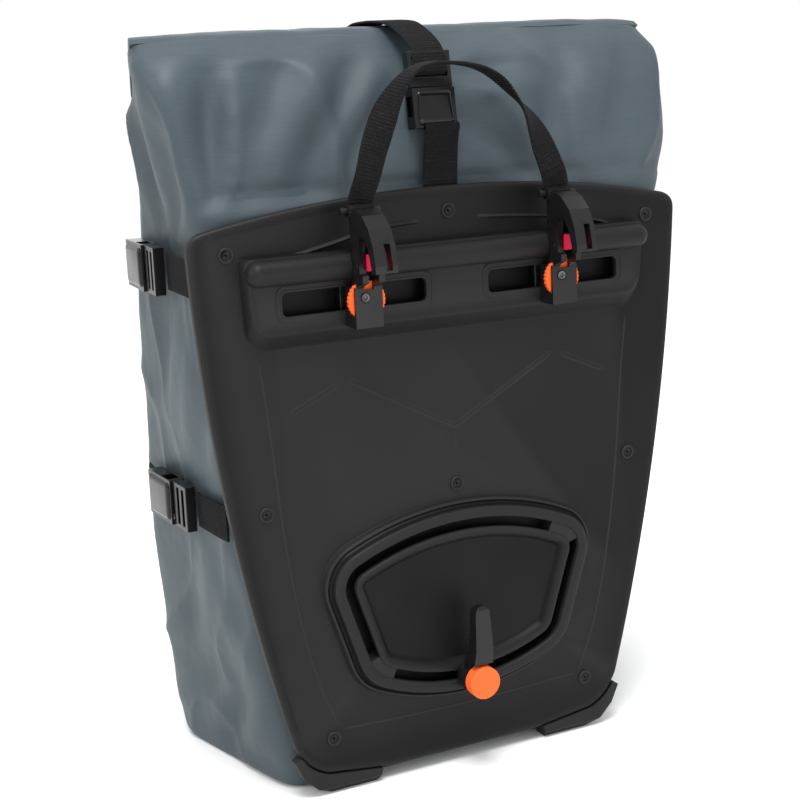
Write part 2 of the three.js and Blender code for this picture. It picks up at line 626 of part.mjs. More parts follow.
// ---- Assembly -----------------------------------------------------------------------------------------
const pannier = new THREE.Group();
const onPlate = new THREE.Group();
onPlate.position.y = PLATE_FRONT;
pannier.add(onPlate);

function addShell(parent) {
  named("back_plate", backPlate(), MATERIALS.plate, parent);
  named("bag_body", bagBody(), MATERIALS.fabric, parent);
  named("rolled_closure", rolledClosure(), MATERIALS.fabric, parent);
  named("corner_guard_left", cornerGuard(-1), MATERIALS.plate, parent);
  named("corner_guard_right", cornerGuard(1), MATERIALS.plate, parent);
  for (const [name, [x, z]] of Object.entries(RIVETS)) {
    named(name, rivet(x, z), MATERIALS.plate, parent);
  }
}

function addRailHook(label, x, parent) {
  named(`hook_${label}`, hookBody(x), MATERIALS.hook, parent);
  named(`clamp_nut_${label}`, clampNut(x), MATERIALS.steel, parent);
  named(`hook_screw_${label}`, hookScrew(x), MATERIALS.steel, parent);
  named(`catch_pin_${label}`, hookPin(x), MATERIALS.steel, parent);
  named(`catch_${label}`, hookCatch(x), MATERIALS.red, parent);
  named(`release_slide_${label}`, releaseSlide(x), MATERIALS.hook, parent);
  named(`thumbwheel_${label}`, thumbwheel(x), MATERIALS.orange, parent);
}

function addLowerHook(parent) {
  named("lower_hook_carrier", lowerCarrier(), MATERIALS.steel, parent);
  named("lower_hook_arm", lowerArm(), MATERIALS.hook, parent);
  named("lower_hook_knob", lowerKnob(), MATERIALS.orange, parent);
}

function addTopBuckle(parent) {
  const buckle = new THREE.Group();
  place(buckle, [TOP_STRAP_X, 12.2, 393], [0, 0.148, 0.989], [0, -0.989, 0.148]);
  parent.add(buckle);
  named("top_buckle_female", femaleBuckle(TOP_FEMALE_LENGTH), MATERIALS.buckle, buckle);
  named("top_buckle_male", maleBuckle(), MATERIALS.buckle, buckle);
  named("top_prong_left", prong(-1), MATERIALS.buckle, buckle);
  named("top_prong_right", prong(1), MATERIALS.buckle, buckle);
  named("plate_strap", topStrap(PLATE_STRAP_PATH, PLATE_STRAP_X), MATERIALS.webbing, parent);
  named("roll_strap", topStrap(ROLL_STRAP_PATH, TOP_STRAP_X), MATERIALS.webbing, parent);
  named("anchor_strap", topStrap(ANCHOR_STRAP_PATH, TOP_STRAP_X), MATERIALS.webbing, parent);
}

function addSideStraps(parent) {
  for (const [label, side] of [["left", -1], ["right", 1]]) {
    for (const [level, { height, turn, origin, rear, front }] of Object.entries(SIDE_STRAPS)) {
      const name = `side_${level}_${label}`;
      const lean = Math.sin(turn * DEGREE);
      const straight = Math.cos(turn * DEGREE);
      const buckle = new THREE.Group();
      place(buckle, [-side * origin[0], origin[1], height], [-side * lean, -straight, 0],
        [side * straight, -lean, 0]);
      parent.add(buckle);
      named(`${name}_female`, femaleBuckle(SIDE_FEMALE_LENGTH), MATERIALS.buckle, buckle);
      const male = maleBuckle().add(sideProngs());
      named(`${name}_male`, male, MATERIALS.buckle, buckle);
      named(`${name}_rear_strap`, sideStrap(rear, side, height), MATERIALS.webbing, parent);
      named(`${name}_front_strap`, sideStrap(front, side, height), MATERIALS.webbing, parent);
    }
  }
}

function sideProngs() {
  const root = block(-10.4, 10.4, -4.4, -1.8, -0.4, 1);
  return prong(-1).add(prong(1)).add(root);
}

addShell(onPlate);
for (const [label, side] of [["left", -1], ["right", 1]]) {
  addRailHook(label, side * HOOK_SPACING, onPlate);
}
addLowerHook(onPlate);
addTopBuckle(onPlate);
addSideStraps(onPlate);
named("handle_strap", handleStrap(), MATERIALS.webbing, onPlate);

export default pannier;
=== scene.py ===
# The looks of a roll-top bicycle pannier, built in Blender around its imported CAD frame.
# Lengths are millimetres in the plate's own space: x across, y backwards from the plate's front face,
# z up from the ground. at() turns such a point into the frame's metres.
import math

import bmesh
import bpy
from mathutils import Matrix, Vector, noise


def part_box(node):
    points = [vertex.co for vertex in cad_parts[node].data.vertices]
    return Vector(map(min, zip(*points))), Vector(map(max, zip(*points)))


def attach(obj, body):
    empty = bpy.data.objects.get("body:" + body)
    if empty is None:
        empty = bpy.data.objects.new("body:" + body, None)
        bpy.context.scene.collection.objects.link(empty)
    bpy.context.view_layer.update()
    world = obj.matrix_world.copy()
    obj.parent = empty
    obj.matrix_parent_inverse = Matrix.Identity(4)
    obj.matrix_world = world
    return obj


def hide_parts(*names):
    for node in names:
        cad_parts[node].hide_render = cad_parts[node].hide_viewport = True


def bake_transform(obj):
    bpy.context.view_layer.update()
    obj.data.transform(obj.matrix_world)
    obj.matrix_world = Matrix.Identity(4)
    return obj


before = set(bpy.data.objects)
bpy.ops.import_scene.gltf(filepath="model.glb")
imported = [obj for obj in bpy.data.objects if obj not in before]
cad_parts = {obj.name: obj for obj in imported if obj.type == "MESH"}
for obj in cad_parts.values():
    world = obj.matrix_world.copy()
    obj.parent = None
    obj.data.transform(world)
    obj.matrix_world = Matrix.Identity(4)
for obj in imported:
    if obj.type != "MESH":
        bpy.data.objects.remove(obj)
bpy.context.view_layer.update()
scene = bpy.context.scene

# ---- Driving dimensions -------------------------------------------------------------------------------
MM = 0.001
PLATE_THICKNESS = 5.5
PLATE_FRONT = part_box("back_plate")[1].y / MM - PLATE_THICKNESS
PLATE_TOP_HALF_WIDTH = 152.5
PLATE_TOP_CORNER = 316
PLATE_ARCH_TOP = 341
PLATE_BOTTOM_HALF_WIDTH = 108
PLATE_BOTTOM_CORNER = 32
PLATE_BOTTOM = 8
PLATE_SIDE_BULGE = 16.6

RAIL_HALF_LENGTH = 126
RAIL_FACE = -8.5
RAIL_BOTTOM = 262
RAIL_TOP = 312
RAIL_CORNER = 5
BAR_RADIUS = 7
BAR_DEPTH = -9.5
BAR_HEIGHT = 304
BAR_HALF_LENGTH = 118
SLOT_INNER = 19.5
SLOT_OUTER = 105
SLOT_BOTTOM = 280
SLOT_TOP = 293

SHIELD_FACE = -9
SHIELD_BOTTOM_CENTRE = 180
SHIELD_BOTTOM_RADIUS = 136
SHIELD_TOP_CENTRE = -9
SHIELD_TOP_RADIUS = 171
SHIELD_LOWER_CORNER = 30
SHIELD_UPPER_CORNER = 26
SHIELD_CORNER_ANGLE = math.radians(25)
TRACK_INSET = 11
TRACK_WIDTH = 6
PANEL_DEPTH = -4.5

HOOK_OFFSET = 61
STRAP_WIDTH = 20
STRAP_THICKNESS = 1.4
BAG_CORNER_POWER = 0.2
TOP_STRAP_X = -5
PLATE_STRAP_X = -2
HANDLE_WIDTH = 15
UPPER_LEVEL = 303
LOWER_LEVEL = 168
STRAP_LEVELS = (UPPER_LEVEL, LOWER_LEVEL)
RIVET_PLACES = [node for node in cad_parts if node.startswith("rivet_")]


def at(x, y, z):
    return Vector((x, y + PLATE_FRONT, z)) * MM


# ---- Camera, floor and light --------------------------------------------------------------------------
CAMERA_PLACE = (-0.41917, -0.85329, 0.41975)
CAMERA_AZIMUTH = math.radians(-26.29)
CAMERA_ELEVATION = math.radians(12.66)
CAMERA_ROLL = math.radians(-2.29)
CAMERA_LENS = 72
CAMERA_SENSOR = 36
FLOOR_SIZE = 8
BAG_MIDDLE = (0, 0, 0.22)
# Each light: name, place, target, size and power.
LIGHTS = [
    ("key_light", (-0.35, -0.7, 2.1), BAG_MIDDLE, 0.9, 36),
    ("left_light", (-2.0, -0.1, 1.2), BAG_MIDDLE, 0.5, 7),
    ("low_light", (0.2, -1.7, 0.1), (0, 0, 0.2), 0.6, 4),
    ("back_light", (0.6, 1.8, 1.2), BAG_MIDDLE, 1.6, 4),
]


def add_camera():
    level = Vector((math.cos(CAMERA_AZIMUTH), math.sin(CAMERA_AZIMUTH), 0))
    back = Vector((
        math.sin(CAMERA_AZIMUTH) * math.cos(CAMERA_ELEVATION),
        -math.cos(CAMERA_AZIMUTH) * math.cos(CAMERA_ELEVATION),
        math.sin(CAMERA_ELEVATION),
    ))
    right = level * math.cos(CAMERA_ROLL) + back.cross(level) * math.sin(CAMERA_ROLL)
    turn = Matrix((right, back.cross(right), back)).transposed().to_4x4()
    data = bpy.data.cameras.new("camera")
    data.lens = CAMERA_LENS
    data.sensor_width = CAMERA_SENSOR
    camera = bpy.data.objects.new("camera", data)
    camera.matrix_world = Matrix.Translation(CAMERA_PLACE) @ turn
    scene.collection.objects.link(camera)
    scene.camera = camera


def add_area_light(name, place, target, size, power):
    data = bpy.data.lights.new(name, "AREA")
    data.shape = "DISK"
    data.size = size
    data.energy = power
    light = bpy.data.objects.new(name, data)
    aim = Vector(target) - Vector(place)
    light.matrix_world = Matrix.Translation(place) @ aim.to_track_quat("-Z", "Y").to_matrix().to_4x4()
    scene.collection.objects.link(light)


def add_surroundings():
    world = bpy.data.worlds.new("studio")
    world.use_nodes = True
    background = world.node_tree.nodes["Background"]
    background.inputs["Color"].default_value = (1, 1, 1, 1)
    background.inputs["Strength"].default_value = 1.0
    scene.world = world
    scene.view_settings.view_transform = "Standard"
    for light in LIGHTS:
        add_area_light(*light)


def add_floor():
    half = FLOOR_SIZE / 2
    mesh = bpy.data.meshes.new("floor")
    mesh.from_pydata([(-half, -half, 0), (half, -half, 0), (half, half, 0), (-half, half, 0)], [],
                     [(0, 1, 2, 3)])
    floor = bpy.data.objects.new("floor", mesh)
    scene.collection.objects.link(floor)
    floor.data.materials.append(plain_floor())


# ---- Material helpers ---------------------------------------------------------------------------------
WAVE_REPEAT = 0.314159
# Sharp edges of the plastics are painted lighter by pointiness: partly rubbed wear, partly a painted
# highlight along the edges.
PLAIN_POINTINESS = 0.5
EDGE_WEAR_AND_HIGHLIGHT_REACH = 0.045
EDGE_WEAR_AND_HIGHLIGHT_SHARE = 0.7


def srgb(red, green, blue):
    def linear(value):
        value /= 255
        return value / 12.92 if value <= 0.04045 else ((value + 0.055) / 1.055) ** 2.4
    return (linear(red), linear(green), linear(blue), 1)


def grey(value):
    return (value, value, value, 1)


def new_material(name, roughness, **settings):
    material = bpy.data.materials.new(name)
    material.use_nodes = True
    shader = material.node_tree.nodes["Principled BSDF"]
    shader.inputs["Roughness"].default_value = roughness
    for socket, value in settings.items():
        shader.inputs[socket.replace("_", " ")].default_value = value
    return material, material.node_tree, shader


def node(tree, kind, **settings):
    made = tree.nodes.new(kind)
    for key, value in settings.items():
        if key in made.inputs:
            made.inputs[key].default_value = value
        else:
            setattr(made, key, value)
    return made


def place_in_object(tree, scale):
    coordinates = node(tree, "ShaderNodeTexCoord")
    mapping = node(tree, "ShaderNodeMapping")
    mapping.inputs["Scale"].default_value = scale
    tree.links.new(coordinates.outputs["Object"], mapping.inputs["Vector"])
    return mapping.outputs["Vector"]


def noise_texture(tree, scale, detail=2.0, stretch=(1, 1, 1)):
    texture = node(tree, "ShaderNodeTexNoise", Scale=scale, Detail=detail)
    tree.links.new(place_in_object(tree, stretch), texture.inputs["Vector"])
    return texture.outputs["Fac"]


def bands(tree, direction, pitch):
    """Straight bands. Along an axis, a wave of scale 1 repeats every 0.314159 m."""
    texture = node(tree, "ShaderNodeTexWave", bands_direction=direction, Scale=WAVE_REPEAT / (pitch * MM))
    tree.links.new(place_in_object(tree, (1, 1, 1)), texture.inputs["Vector"])
    return texture.outputs["Fac"]


def ramp(tree, value, stops):
    colours = node(tree, "ShaderNodeValToRGB")
    elements = colours.color_ramp.elements
    elements[0].position, elements[0].color = stops[0]
    elements[1].position, elements[1].color = stops[-1]
    for position, colour in stops[1:-1]:
        elements.new(position).color = colour
    tree.links.new(value, colours.inputs["Fac"])
    return colours.outputs["Color"]


def combine(tree, operation, first, second):
    maths = node(tree, "ShaderNodeMath", operation=operation)
    for socket, value in zip(maths.inputs, (first, second)):
        if isinstance(value, (int, float)):
            socket.default_value = value
        else:
            tree.links.new(value, socket)
    return maths.outputs["Value"]


def mix_colour(tree, blend, share, first, second):
    mixer = node(tree, "ShaderNodeMix", data_type="RGBA", blend_type=blend)
    if isinstance(share, (int, float)):
        mixer.inputs[0].default_value = share
    else:
        tree.links.new(share, mixer.inputs[0])
    for socket, value in zip((mixer.inputs[6], mixer.inputs[7]), (first, second)):
        if isinstance(value, tuple):
            socket.default_value = value
        else:
            tree.links.new(value, socket)
    return mixer.outputs[2]


def bump(tree, shader, height, distance, strength=1.0):
    bumps = node(tree, "ShaderNodeBump", Strength=strength, Distance=distance * MM)
    tree.links.new(height, bumps.inputs["Height"])
    tree.links.new(bumps.outputs["Normal"], shader.inputs["Normal"])


def spread(tree, value, low, high):
    spreader = node(tree, "ShaderNodeMapRange")
    spreader.inputs["To Min"].default_value = low
    spreader.inputs["To Max"].default_value = high
    tree.links.new(value, spreader.inputs["Value"])
    return spreader.outputs["Result"]


def worn_and_highlit_edges(tree, colour, light):
    # Mixes in a lighter colour where pointiness is high: partly rubbed wear, partly a painted highlight
    # standing in for the edges' shine.
    shape = node(tree, "ShaderNodeNewGeometry")
    edge = node(tree, "ShaderNodeMapRange")
    edge.inputs["From Min"].default_value = PLAIN_POINTINESS
    edge.inputs["From Max"].default_value = PLAIN_POINTINESS + EDGE_WEAR_AND_HIGHLIGHT_REACH
    edge.inputs["To Max"].default_value = EDGE_WEAR_AND_HIGHLIGHT_SHARE
    tree.links.new(shape.outputs["Pointiness"], edge.inputs["Value"])
    return mix_colour(tree, "MIX", edge.outputs["Result"], colour, light)


# ---- Materials ----------------------------------------------------------------------------------------
WEAVE_PITCH = 0.5


def plain_floor():
    material, tree, shader = new_material("floor_pale", 0.9)
    colour = ramp(tree, noise_texture(tree, 3), [(0.3, grey(0.965)), (0.7, grey(0.985))])
    tree.links.new(colour, shader.inputs["Base Color"])
    return material


def moulded_plastic(name, dark, light, roughness, grain=0.05, coat=0.0, gloss=0.16, wear_and_highlight=0.015):
    material, tree, shader = new_material(name, roughness, Coat_Weight=coat, Specular_IOR_Level=gloss)
    mottle = ramp(tree, noise_texture(tree, 28, 4), [(0.3, dark), (0.75, light)])
    # A lighter copy of the plastic's colour for its sharp edges, lifted by the last argument: partly wear,
    # partly a painted edge highlight.
    edge = tuple(min(1.0, channel * 1.5 + wear_and_highlight) for channel in light[:3]) + (1,)
    tree.links.new(worn_and_highlit_edges(tree, mottle, edge), shader.inputs["Base Color"])
    tree.links.new(spread(tree, noise_texture(tree, 60, 5), roughness - 0.07, roughness + 0.08),
                   shader.inputs["Roughness"])
    bump(tree, shader, noise_texture(tree, 1700, 2), grain, 0.5)
    return material


def coated_fabric():
    material, tree, shader = new_material("coated_fabric", 0.5, Sheen_Weight=0.05, Sheen_Roughness=0.4,
                                          Sheen_Tint=srgb(190, 205, 212), Specular_IOR_Level=0.34)
    base = ramp(tree, noise_texture(tree, 7, 4), [(0.3, srgb(52, 63, 69)), (0.7, srgb(62, 74, 80))])
    slub = noise_texture(tree, 900, 2, (0.12, 0.12, 1.4))
    slub_tone = ramp(tree, slub, [(0.35, grey(0.42)), (0.5, grey(0.5)), (0.68, grey(0.6))])
    slubbed = mix_colour(tree, "OVERLAY", 0.3, base, slub_tone)
    warp = bands(tree, "X", WEAVE_PITCH)
    fill = bands(tree, "Z", WEAVE_PITCH)
    depth = bands(tree, "Y", WEAVE_PITCH)
    back_weave = combine(tree, "MULTIPLY", warp, fill)
    side_weave = combine(tree, "MULTIPLY", depth, fill)
    weave = combine(tree, "ADD", back_weave, side_weave)
    threads = ramp(tree, weave, [(0.2, grey(0.46)), (0.9, grey(0.54))])
    tree.links.new(mix_colour(tree, "OVERLAY", 0.4, slubbed, threads), shader.inputs["Base Color"])
    tree.links.new(spread(tree, noise_texture(tree, 40, 4), 0.46, 0.6), shader.inputs["Roughness"])
    height = combine(tree, "ADD", weave, combine(tree, "MULTIPLY", slub, 0.8))
    bump(tree, shader, height, 0.035, 0.4)
    return material


def woven_webbing():
    material, tree, shader = new_material("woven_webbing", 0.75, Sheen_Weight=0.06, Sheen_Roughness=0.5,
                                          Sheen_Tint=srgb(120, 122, 128), Specular_IOR_Level=0.14)
    fibre = noise_texture(tree, 900, 3)
    colour = ramp(tree, fibre, [(0.3, srgb(8, 8, 9)), (0.6, srgb(15, 15, 17)), (0.8, srgb(44, 44, 46))])
    tree.links.new(colour, shader.inputs["Base Color"])
    twill = combine(tree, "MULTIPLY", bands(tree, "DIAGONAL", 0.9), bands(tree, "Z", 1.1))
    bump(tree, shader, combine(tree, "ADD", twill, fibre), 0.14, 0.8)
    return material


def sewing_thread():
    material, tree, shader = new_material("sewing_thread", 0.6)
    colour = ramp(tree, noise_texture(tree, 1500, 2), [(0.3, srgb(20, 20, 22)), (0.7, srgb(58, 58, 62))])
    tree.links.new(colour, shader.inputs["Base Color"])
    bump(tree, shader, bands(tree, "DIAGONAL", 0.3), 0.05, 0.6)
    return material


def zinc_steel():
    material, tree, shader = new_material("zinc_steel", 0.4, Metallic=1.0)
    colour = ramp(tree, noise_texture(tree, 240, 4), [(0.3, srgb(62, 62, 64)), (0.7, srgb(104, 104, 106))])
    tree.links.new(colour, shader.inputs["Base Color"])
    brushed = noise_texture(tree, 500, 3, (1, 6, 1))
    tree.links.new(spread(tree, brushed, 0.25, 0.5), shader.inputs["Roughness"])
    bump(tree, shader, noise_texture(tree, 1400, 2, (1, 8, 1)), 0.02, 0.4)
    return material


MATERIALS = {
    "plate": moulded_plastic("plate_plastic", srgb(13, 12, 12), srgb(19, 17, 18), 0.44, 0.06, 0.0, 0.13),
    "rivet": moulded_plastic("rivet_plastic", srgb(15, 14, 13), srgb(21, 20, 20), 0.4, 0.04),
    # The hook's and the buckle's last numbers set the painted edge highlight, together with wear.
    "hook": moulded_plastic("hook_plastic", srgb(9, 9, 9), srgb(14, 14, 14), 0.28, 0.05, 0.0, 0.3, 0.004),
    "buckle": moulded_plastic("buckle_plastic", srgb(5, 5, 6), srgb(9, 9, 10), 0.22, 0.03, 0.0, 0.3, 0.002),
    "knob_orange": moulded_plastic("orange_plastic", srgb(236, 74, 22), srgb(250, 90, 36), 0.45, 0.04),
    "catch_red": moulded_plastic("red_plastic", srgb(150, 14, 44), srgb(190, 28, 62), 0.25, 0.02, 0.4),
    "fabric": coated_fabric(),
    "webbing": woven_webbing(),
    "thread": sewing_thread(),
    "steel": zinc_steel(),
}


# ---- Mesh helpers -------------------------------------------------------------------------------------
BEVEL_SEGMENTS = 3
BEVEL_ANGLE = math.radians(28)
FLAT_ANGLE = math.radians(1.5)


def piece(name, points, faces, slot, body="root", replaced=(), sharp=None):
    """A new mesh from millimetre points, riding on a body, with its slot and the nodes it stands for."""
    mesh = bpy.data.meshes.new(name)
    mesh.from_pydata([at(*point) for point in points], [], faces)
    shaped = bmesh.new()
    shaped.from_mesh(mesh)
    bmesh.ops.remove_doubles(shaped, verts=shaped.verts, dist=1e-6)
    bmesh.ops.recalc_face_normals(shaped, faces=shaped.faces)
    shaped.to_mesh(mesh)
    shaped.free()
    made = bpy.data.objects.new(name, mesh)
    scene.collection.objects.link(made)
    return dressed(made, slot, body, replaced, sharp)


def dressed(made, slot, body="root", replaced=(), sharp=None):
    made.data.materials.clear()
    made.data.materials.append(MATERIALS[slot])
    made.data.shade_smooth()
    if sharp is not None:
        made.data.set_sharp_from_angle(angle=math.radians(sharp))
    if body is not None:
        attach(made, body)
    if replaced:
        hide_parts(*replaced)
    return made


def rounded(made, width):
    """Rounds a piece's edges that are sharper than BEVEL_ANGLE."""
    weld = made.modifiers.new("weld", "WELD")
    weld.merge_threshold = 0.01 * MM
    flat = made.modifiers.new("flat", "DECIMATE")
    flat.decimate_type = "DISSOLVE"
    flat.angle_limit = FLAT_ANGLE
    edge = made.modifiers.new("edge", "BEVEL")
    edge.width = width * MM
    edge.segments = BEVEL_SEGMENTS
    edge.limit_method = "ANGLE"
    edge.angle_limit = BEVEL_ANGLE
    edge.harden_normals = True


def loft(rings, capped=False):
    """Points and faces of a skin through closed rings with the same number of points."""
    count = len(rings[0])
    points = [point for ring in rings for point in ring]
    faces = []
    for row in range(len(rings) - 1):
        for i in range(count):
            low = row * count
            after = (i + 1) % count
            faces.append((low + i, low + after, low + count + after, low + count + i))
    if capped:
        faces.append(tuple(range(count))[::-1])
        last = (len(rings) - 1) * count
        faces.append(tuple(range(last, last + count)))
    return points, faces


def joined(parts):
    """One list of points and faces from several."""
    points = []
    faces = []
    for some_points, some_faces in parts:
        start = len(points)
        points.extend(some_points)
        faces.extend(tuple(start + index for index in face) for face in some_faces)
    return points, faces


def arc(centre, radius, start, end, steps):
    return [(centre[0] + radius * math.cos(start + (end - start) * i / steps),
             centre[1] + radius * math.sin(start + (end - start) * i / steps)) for i in range(steps + 1)]


def quadratic(start, control, end, steps):
    found = []
    for i in range(1, steps + 1):
        t = i / steps
        found.append(tuple(a * (1 - t) ** 2 + 2 * b * t * (1 - t) + c * t * t
                           for a, b, c in zip(start, control, end)))
    return found


def inset_outline(outline, distance):
    """A closed outline, drawn anticlockwise, moved inwards along its corners' bisectors."""
    found = []
    for i, point in enumerate(outline):
        before = Vector(outline[i - 1])
        after = Vector(outline[(i + 1) % len(outline)])
        here = Vector(point)
        first = (here - before).normalized()
        second = (after - here).normalized()
        normal = Vector((-first.y - second.y, first.x + second.x)).normalized()
        reach = distance / max(0.5, normal.dot(Vector((-first.y, first.x))))
        found.append(tuple(here + normal * reach))
    return found


def plate_rings(outline, steps):
    """Rings of an outline in x and z, each moved in by an inset and set at a depth."""
    return [[(x, depth, z) for x, z in inset_outline(outline, inset)] for inset, depth in steps]


def catmull_rom(a, b, c, d, t):
    """The point a share t of the way from b to c on the curve through a, b, c and d."""
    return 0.5 * (2 * b + (c - a) * t + (2 * a - 5 * b + 4 * c - d) * t * t
                  + (3 * b - a - 3 * c + d) * t ** 3)


def smooth_path(points, step):
    """An even, smooth path through points, by Catmull-Rom curves."""
    points = [Vector(point) for point in points]
    ends = [2 * points[0] - points[1]] + points + [2 * points[-1] - points[-2]]
    fine = []
    for i in range(1, len(ends) - 2):
        a, b, c, d = ends[i - 1:i + 3]
        for k in range(24):
            t = k / 24
            fine.append(catmull_rom(a, b, c, d, t))
    fine.append(points[-1])
    lengths = [0.0]
    for before, after in zip(fine, fine[1:]):
        lengths.append(lengths[-1] + (after - before).length)
    count = max(2, round(lengths[-1] / step))
    path = []
    index = 0
    for i in range(count + 1):
        target = lengths[-1] * i / count
        while index < len(fine) - 2 and lengths[index + 1] < target:
            index += 1
        share = (target - lengths[index]) / max(1e-9, lengths[index + 1] - lengths[index])
        path.append(fine[index].lerp(fine[index + 1], min(1.0, share)))
    return path


def ridge(path, width, height, depth=0.0):
    """A low rounded rib along a path of x and z points on the plate."""
    rings = []
    for i, (x, z) in enumerate(path):
        before = path[max(i - 1, 0)]
        after = path[min(i + 1, len(path) - 1)]
        run = math.hypot(after[0] - before[0], after[1] - before[1])
        side = ((after[1] - before[1]) / run, -(after[0] - before[0]) / run)
        end = min(1.0, min(i, len(path) - 1 - i) / 3)
        ring = []
        for share in (-1, -0.6, 0, 0.6, 1):
            rise = height * (1 - share * share) * end
            ring.append((x + side[0] * share * width / 2, depth + 0.1 - rise,
                         z + side[1] * share * width / 2))
        ring.append((x, depth + 0.5, z))
        rings.append(ring)
    return loft(rings, True)


def cut(made, *cutters):
    """Cuts closed solids, given as points and faces, out of a piece and keeps the result as its mesh."""
    knives = []
    for points, faces in cutters:
        mesh = bpy.data.meshes.new("knife")
        mesh.from_pydata([at(*point) for point in points], [], faces)
        shaped = bmesh.new()
        shaped.from_mesh(mesh)
        bmesh.ops.recalc_face_normals(shaped, faces=shaped.faces)
        shaped.to_mesh(mesh)
        shaped.free()
        knife = bpy.data.objects.new("knife", mesh)
        scene.collection.objects.link(knife)
        knives.append(knife)
        blade = made.modifiers.new("cut", "BOOLEAN")
        blade.object = knife
        blade.solver = "EXACT"
    keep_modifiers(made)
    for knife in knives:
        bpy.data.meshes.remove(knife.data)


def keep_modifiers(made):
    bpy.context.view_layer.update()
    result = bpy.data.meshes.new_from_object(made.evaluated_get(bpy.context.evaluated_depsgraph_get()))
    made.modifiers.clear()
    made.data = result


# ---- Back plate ---------------------------------------------------------------------------------------
def plate_outline():
    low = PLATE_BOTTOM_HALF_WIDTH
    side = PLATE_TOP_HALF_WIDTH
    arch = PLATE_ARCH_TOP
    middle = ((side + low) / 2 + PLATE_SIDE_BULGE, (PLATE_TOP_CORNER + PLATE_BOTTOM_CORNER) / 2)
    right = [(88, PLATE_BOTTOM + 5)]
    right += quadratic(right[-1], (low - 7, PLATE_BOTTOM + 9), (low, PLATE_BOTTOM_CORNER), 8)
    right += quadratic(right[-1], middle, (side, PLATE_TOP_CORNER), 24)
    right += quadratic(right[-1], (side + 0.5, arch - 16), (side - 10, arch - 14), 8)
    right += quadratic(right[-1], (75, arch), (0, arch), 24)
    base = [(x, PLATE_BOTTOM) for x in (0, 25, 50)]
    left = [(-x, z) for x, z in reversed(base[1:] + right[:-1])]
    return base + right + left


def rounded_box_outline(low_x, high_x, low_z, high_z, radius, steps=6):
    quarter = math.pi / 2
    corners = [(high_x - radius, low_z + radius, -quarter), (high_x - radius, high_z - radius, 0),
               (low_x + radius, high_z - radius, quarter), (low_x + radius, low_z + radius, 2 * quarter)]
    return [point for x, z, start in corners for point in arc((x, z), radius, start, start + quarter, steps)]


def prism(outline, front, back):
    return loft([[(x, front, z) for x, z in outline], [(x, back, z) for x, z in outline]], True)


def shield_outline(inset, steps=14):
    right = math.pi / 2
    angle = SHIELD_CORNER_ANGLE
    lower_reach = SHIELD_BOTTOM_RADIUS - SHIELD_LOWER_CORNER
    upper_reach = SHIELD_TOP_RADIUS - SHIELD_UPPER_CORNER
    lower = (lower_reach * math.sin(angle), SHIELD_BOTTOM_CENTRE - lower_reach * math.cos(angle))
    upper = (upper_reach * math.sin(angle), SHIELD_TOP_CENTRE + upper_reach * math.cos(angle))
    rise = math.atan2(upper[1] - lower[1], upper[0] - lower[0])
    gap = math.hypot(upper[0] - lower[0], upper[1] - lower[1])
    side = rise - math.acos((SHIELD_LOWER_CORNER - SHIELD_UPPER_CORNER) / gap)
    half = arc((0, SHIELD_BOTTOM_CENTRE), SHIELD_BOTTOM_RADIUS - inset, -right, -right + angle, steps)
    half += arc(lower, SHIELD_LOWER_CORNER - inset, -right + angle, side, steps)[1:]
    half += arc(upper, SHIELD_UPPER_CORNER - inset, side, right - angle, steps)
    half += arc((0, SHIELD_TOP_CENTRE), SHIELD_TOP_RADIUS - inset, right - angle, right, steps)[1:]
    return half + [(-x, z) for x, z in reversed(half[1:-1])]


def slot_outlines(margin, radius):
    found = []
    for side in (-1, 1):
        ends = sorted((side * (SLOT_INNER - margin), side * (SLOT_OUTER + margin)))
        found.append(rounded_box_outline(*ends, SLOT_BOTTOM - margin, SLOT_TOP + margin, radius))
    return found


def add_plate_panel():
    outline = plate_outline()
    steps = [(2.2, 5.5), (0.7, 5.3), (0, 4.6), (0, 1.9), (0.3, 0.9), (1, 0.25), (2.2, 0), (5, 0)]
    rings = plate_rings(outline, steps)
    panel = piece("back_plate_panel", *loft(rings, True), "plate", None)
    knives = [prism(shield_outline(4.2), -1, 2.4)]
    knives += [prism(outline, -1, 2.5) for outline in slot_outlines(3, 1.5)]
    cut(panel, *knives)
    dressed(panel, "plate", "root", ["back_plate"], 30)


def rail_outline(bottom, half, radius):
    top = RAIL_TOP
    points = quadratic((half - 14, bottom), (half - 3, bottom), (half - 2, bottom + 12), 8)
    points += quadratic((half, top - radius), (half, top), (half - radius, top), 8)
    base = [(0, bottom), (half - 14, bottom)]
    right = base + points
    return right + [(-x, z) for x, z in reversed(right[1:])]


def add_rail():
    low = RAIL_BOTTOM
    half = RAIL_HALF_LENGTH
    rings = []
    steps = [(low - 0.6, half + 0.6, 0.6), (low, half, -0.4), (low + 1.2, half - 0.4, -1.6),
             (low + 7.6, half - 1.6, -7.2), (low + 8.8, half - 2.2, -8.2),
             (low + 10.4, half - 3.2, RAIL_FACE)]
    for bottom, reach, depth in steps:
        rings.append([(x, depth, z) for x, z in rail_outline(bottom, reach, RAIL_CORNER)])
    housing = piece("rail_housing", *loft(rings, True), "plate", None)
    knives = [prism(outline, RAIL_FACE - 2, 4) for outline in slot_outlines(0, 3.2)]
    knives += [prism(outline, -5.5, 4) for outline in slot_outlines(3, 1.5)]
    cut(housing, *knives)
    dressed(housing, "plate", "root", (), 30)


def add_bar():
    sides = 28
    rings = []
    profile = [(BAR_HALF_LENGTH + BAR_RADIUS * math.sin(turn), BAR_RADIUS * math.cos(turn))
               for turn in (math.pi / 2 * i / 8 for i in range(8))]
    stations = [(-x, radius) for x, radius in reversed(profile)] + profile
    for x, radius in stations:
        rings.append([(x, BAR_DEPTH + radius * math.cos(a), BAR_HEIGHT + radius * math.sin(a))
                      for a in (2 * math.pi * i / sides for i in range(sides))])
    piece("rail_bar", *loft(rings, True), "plate", "root", (), 60)


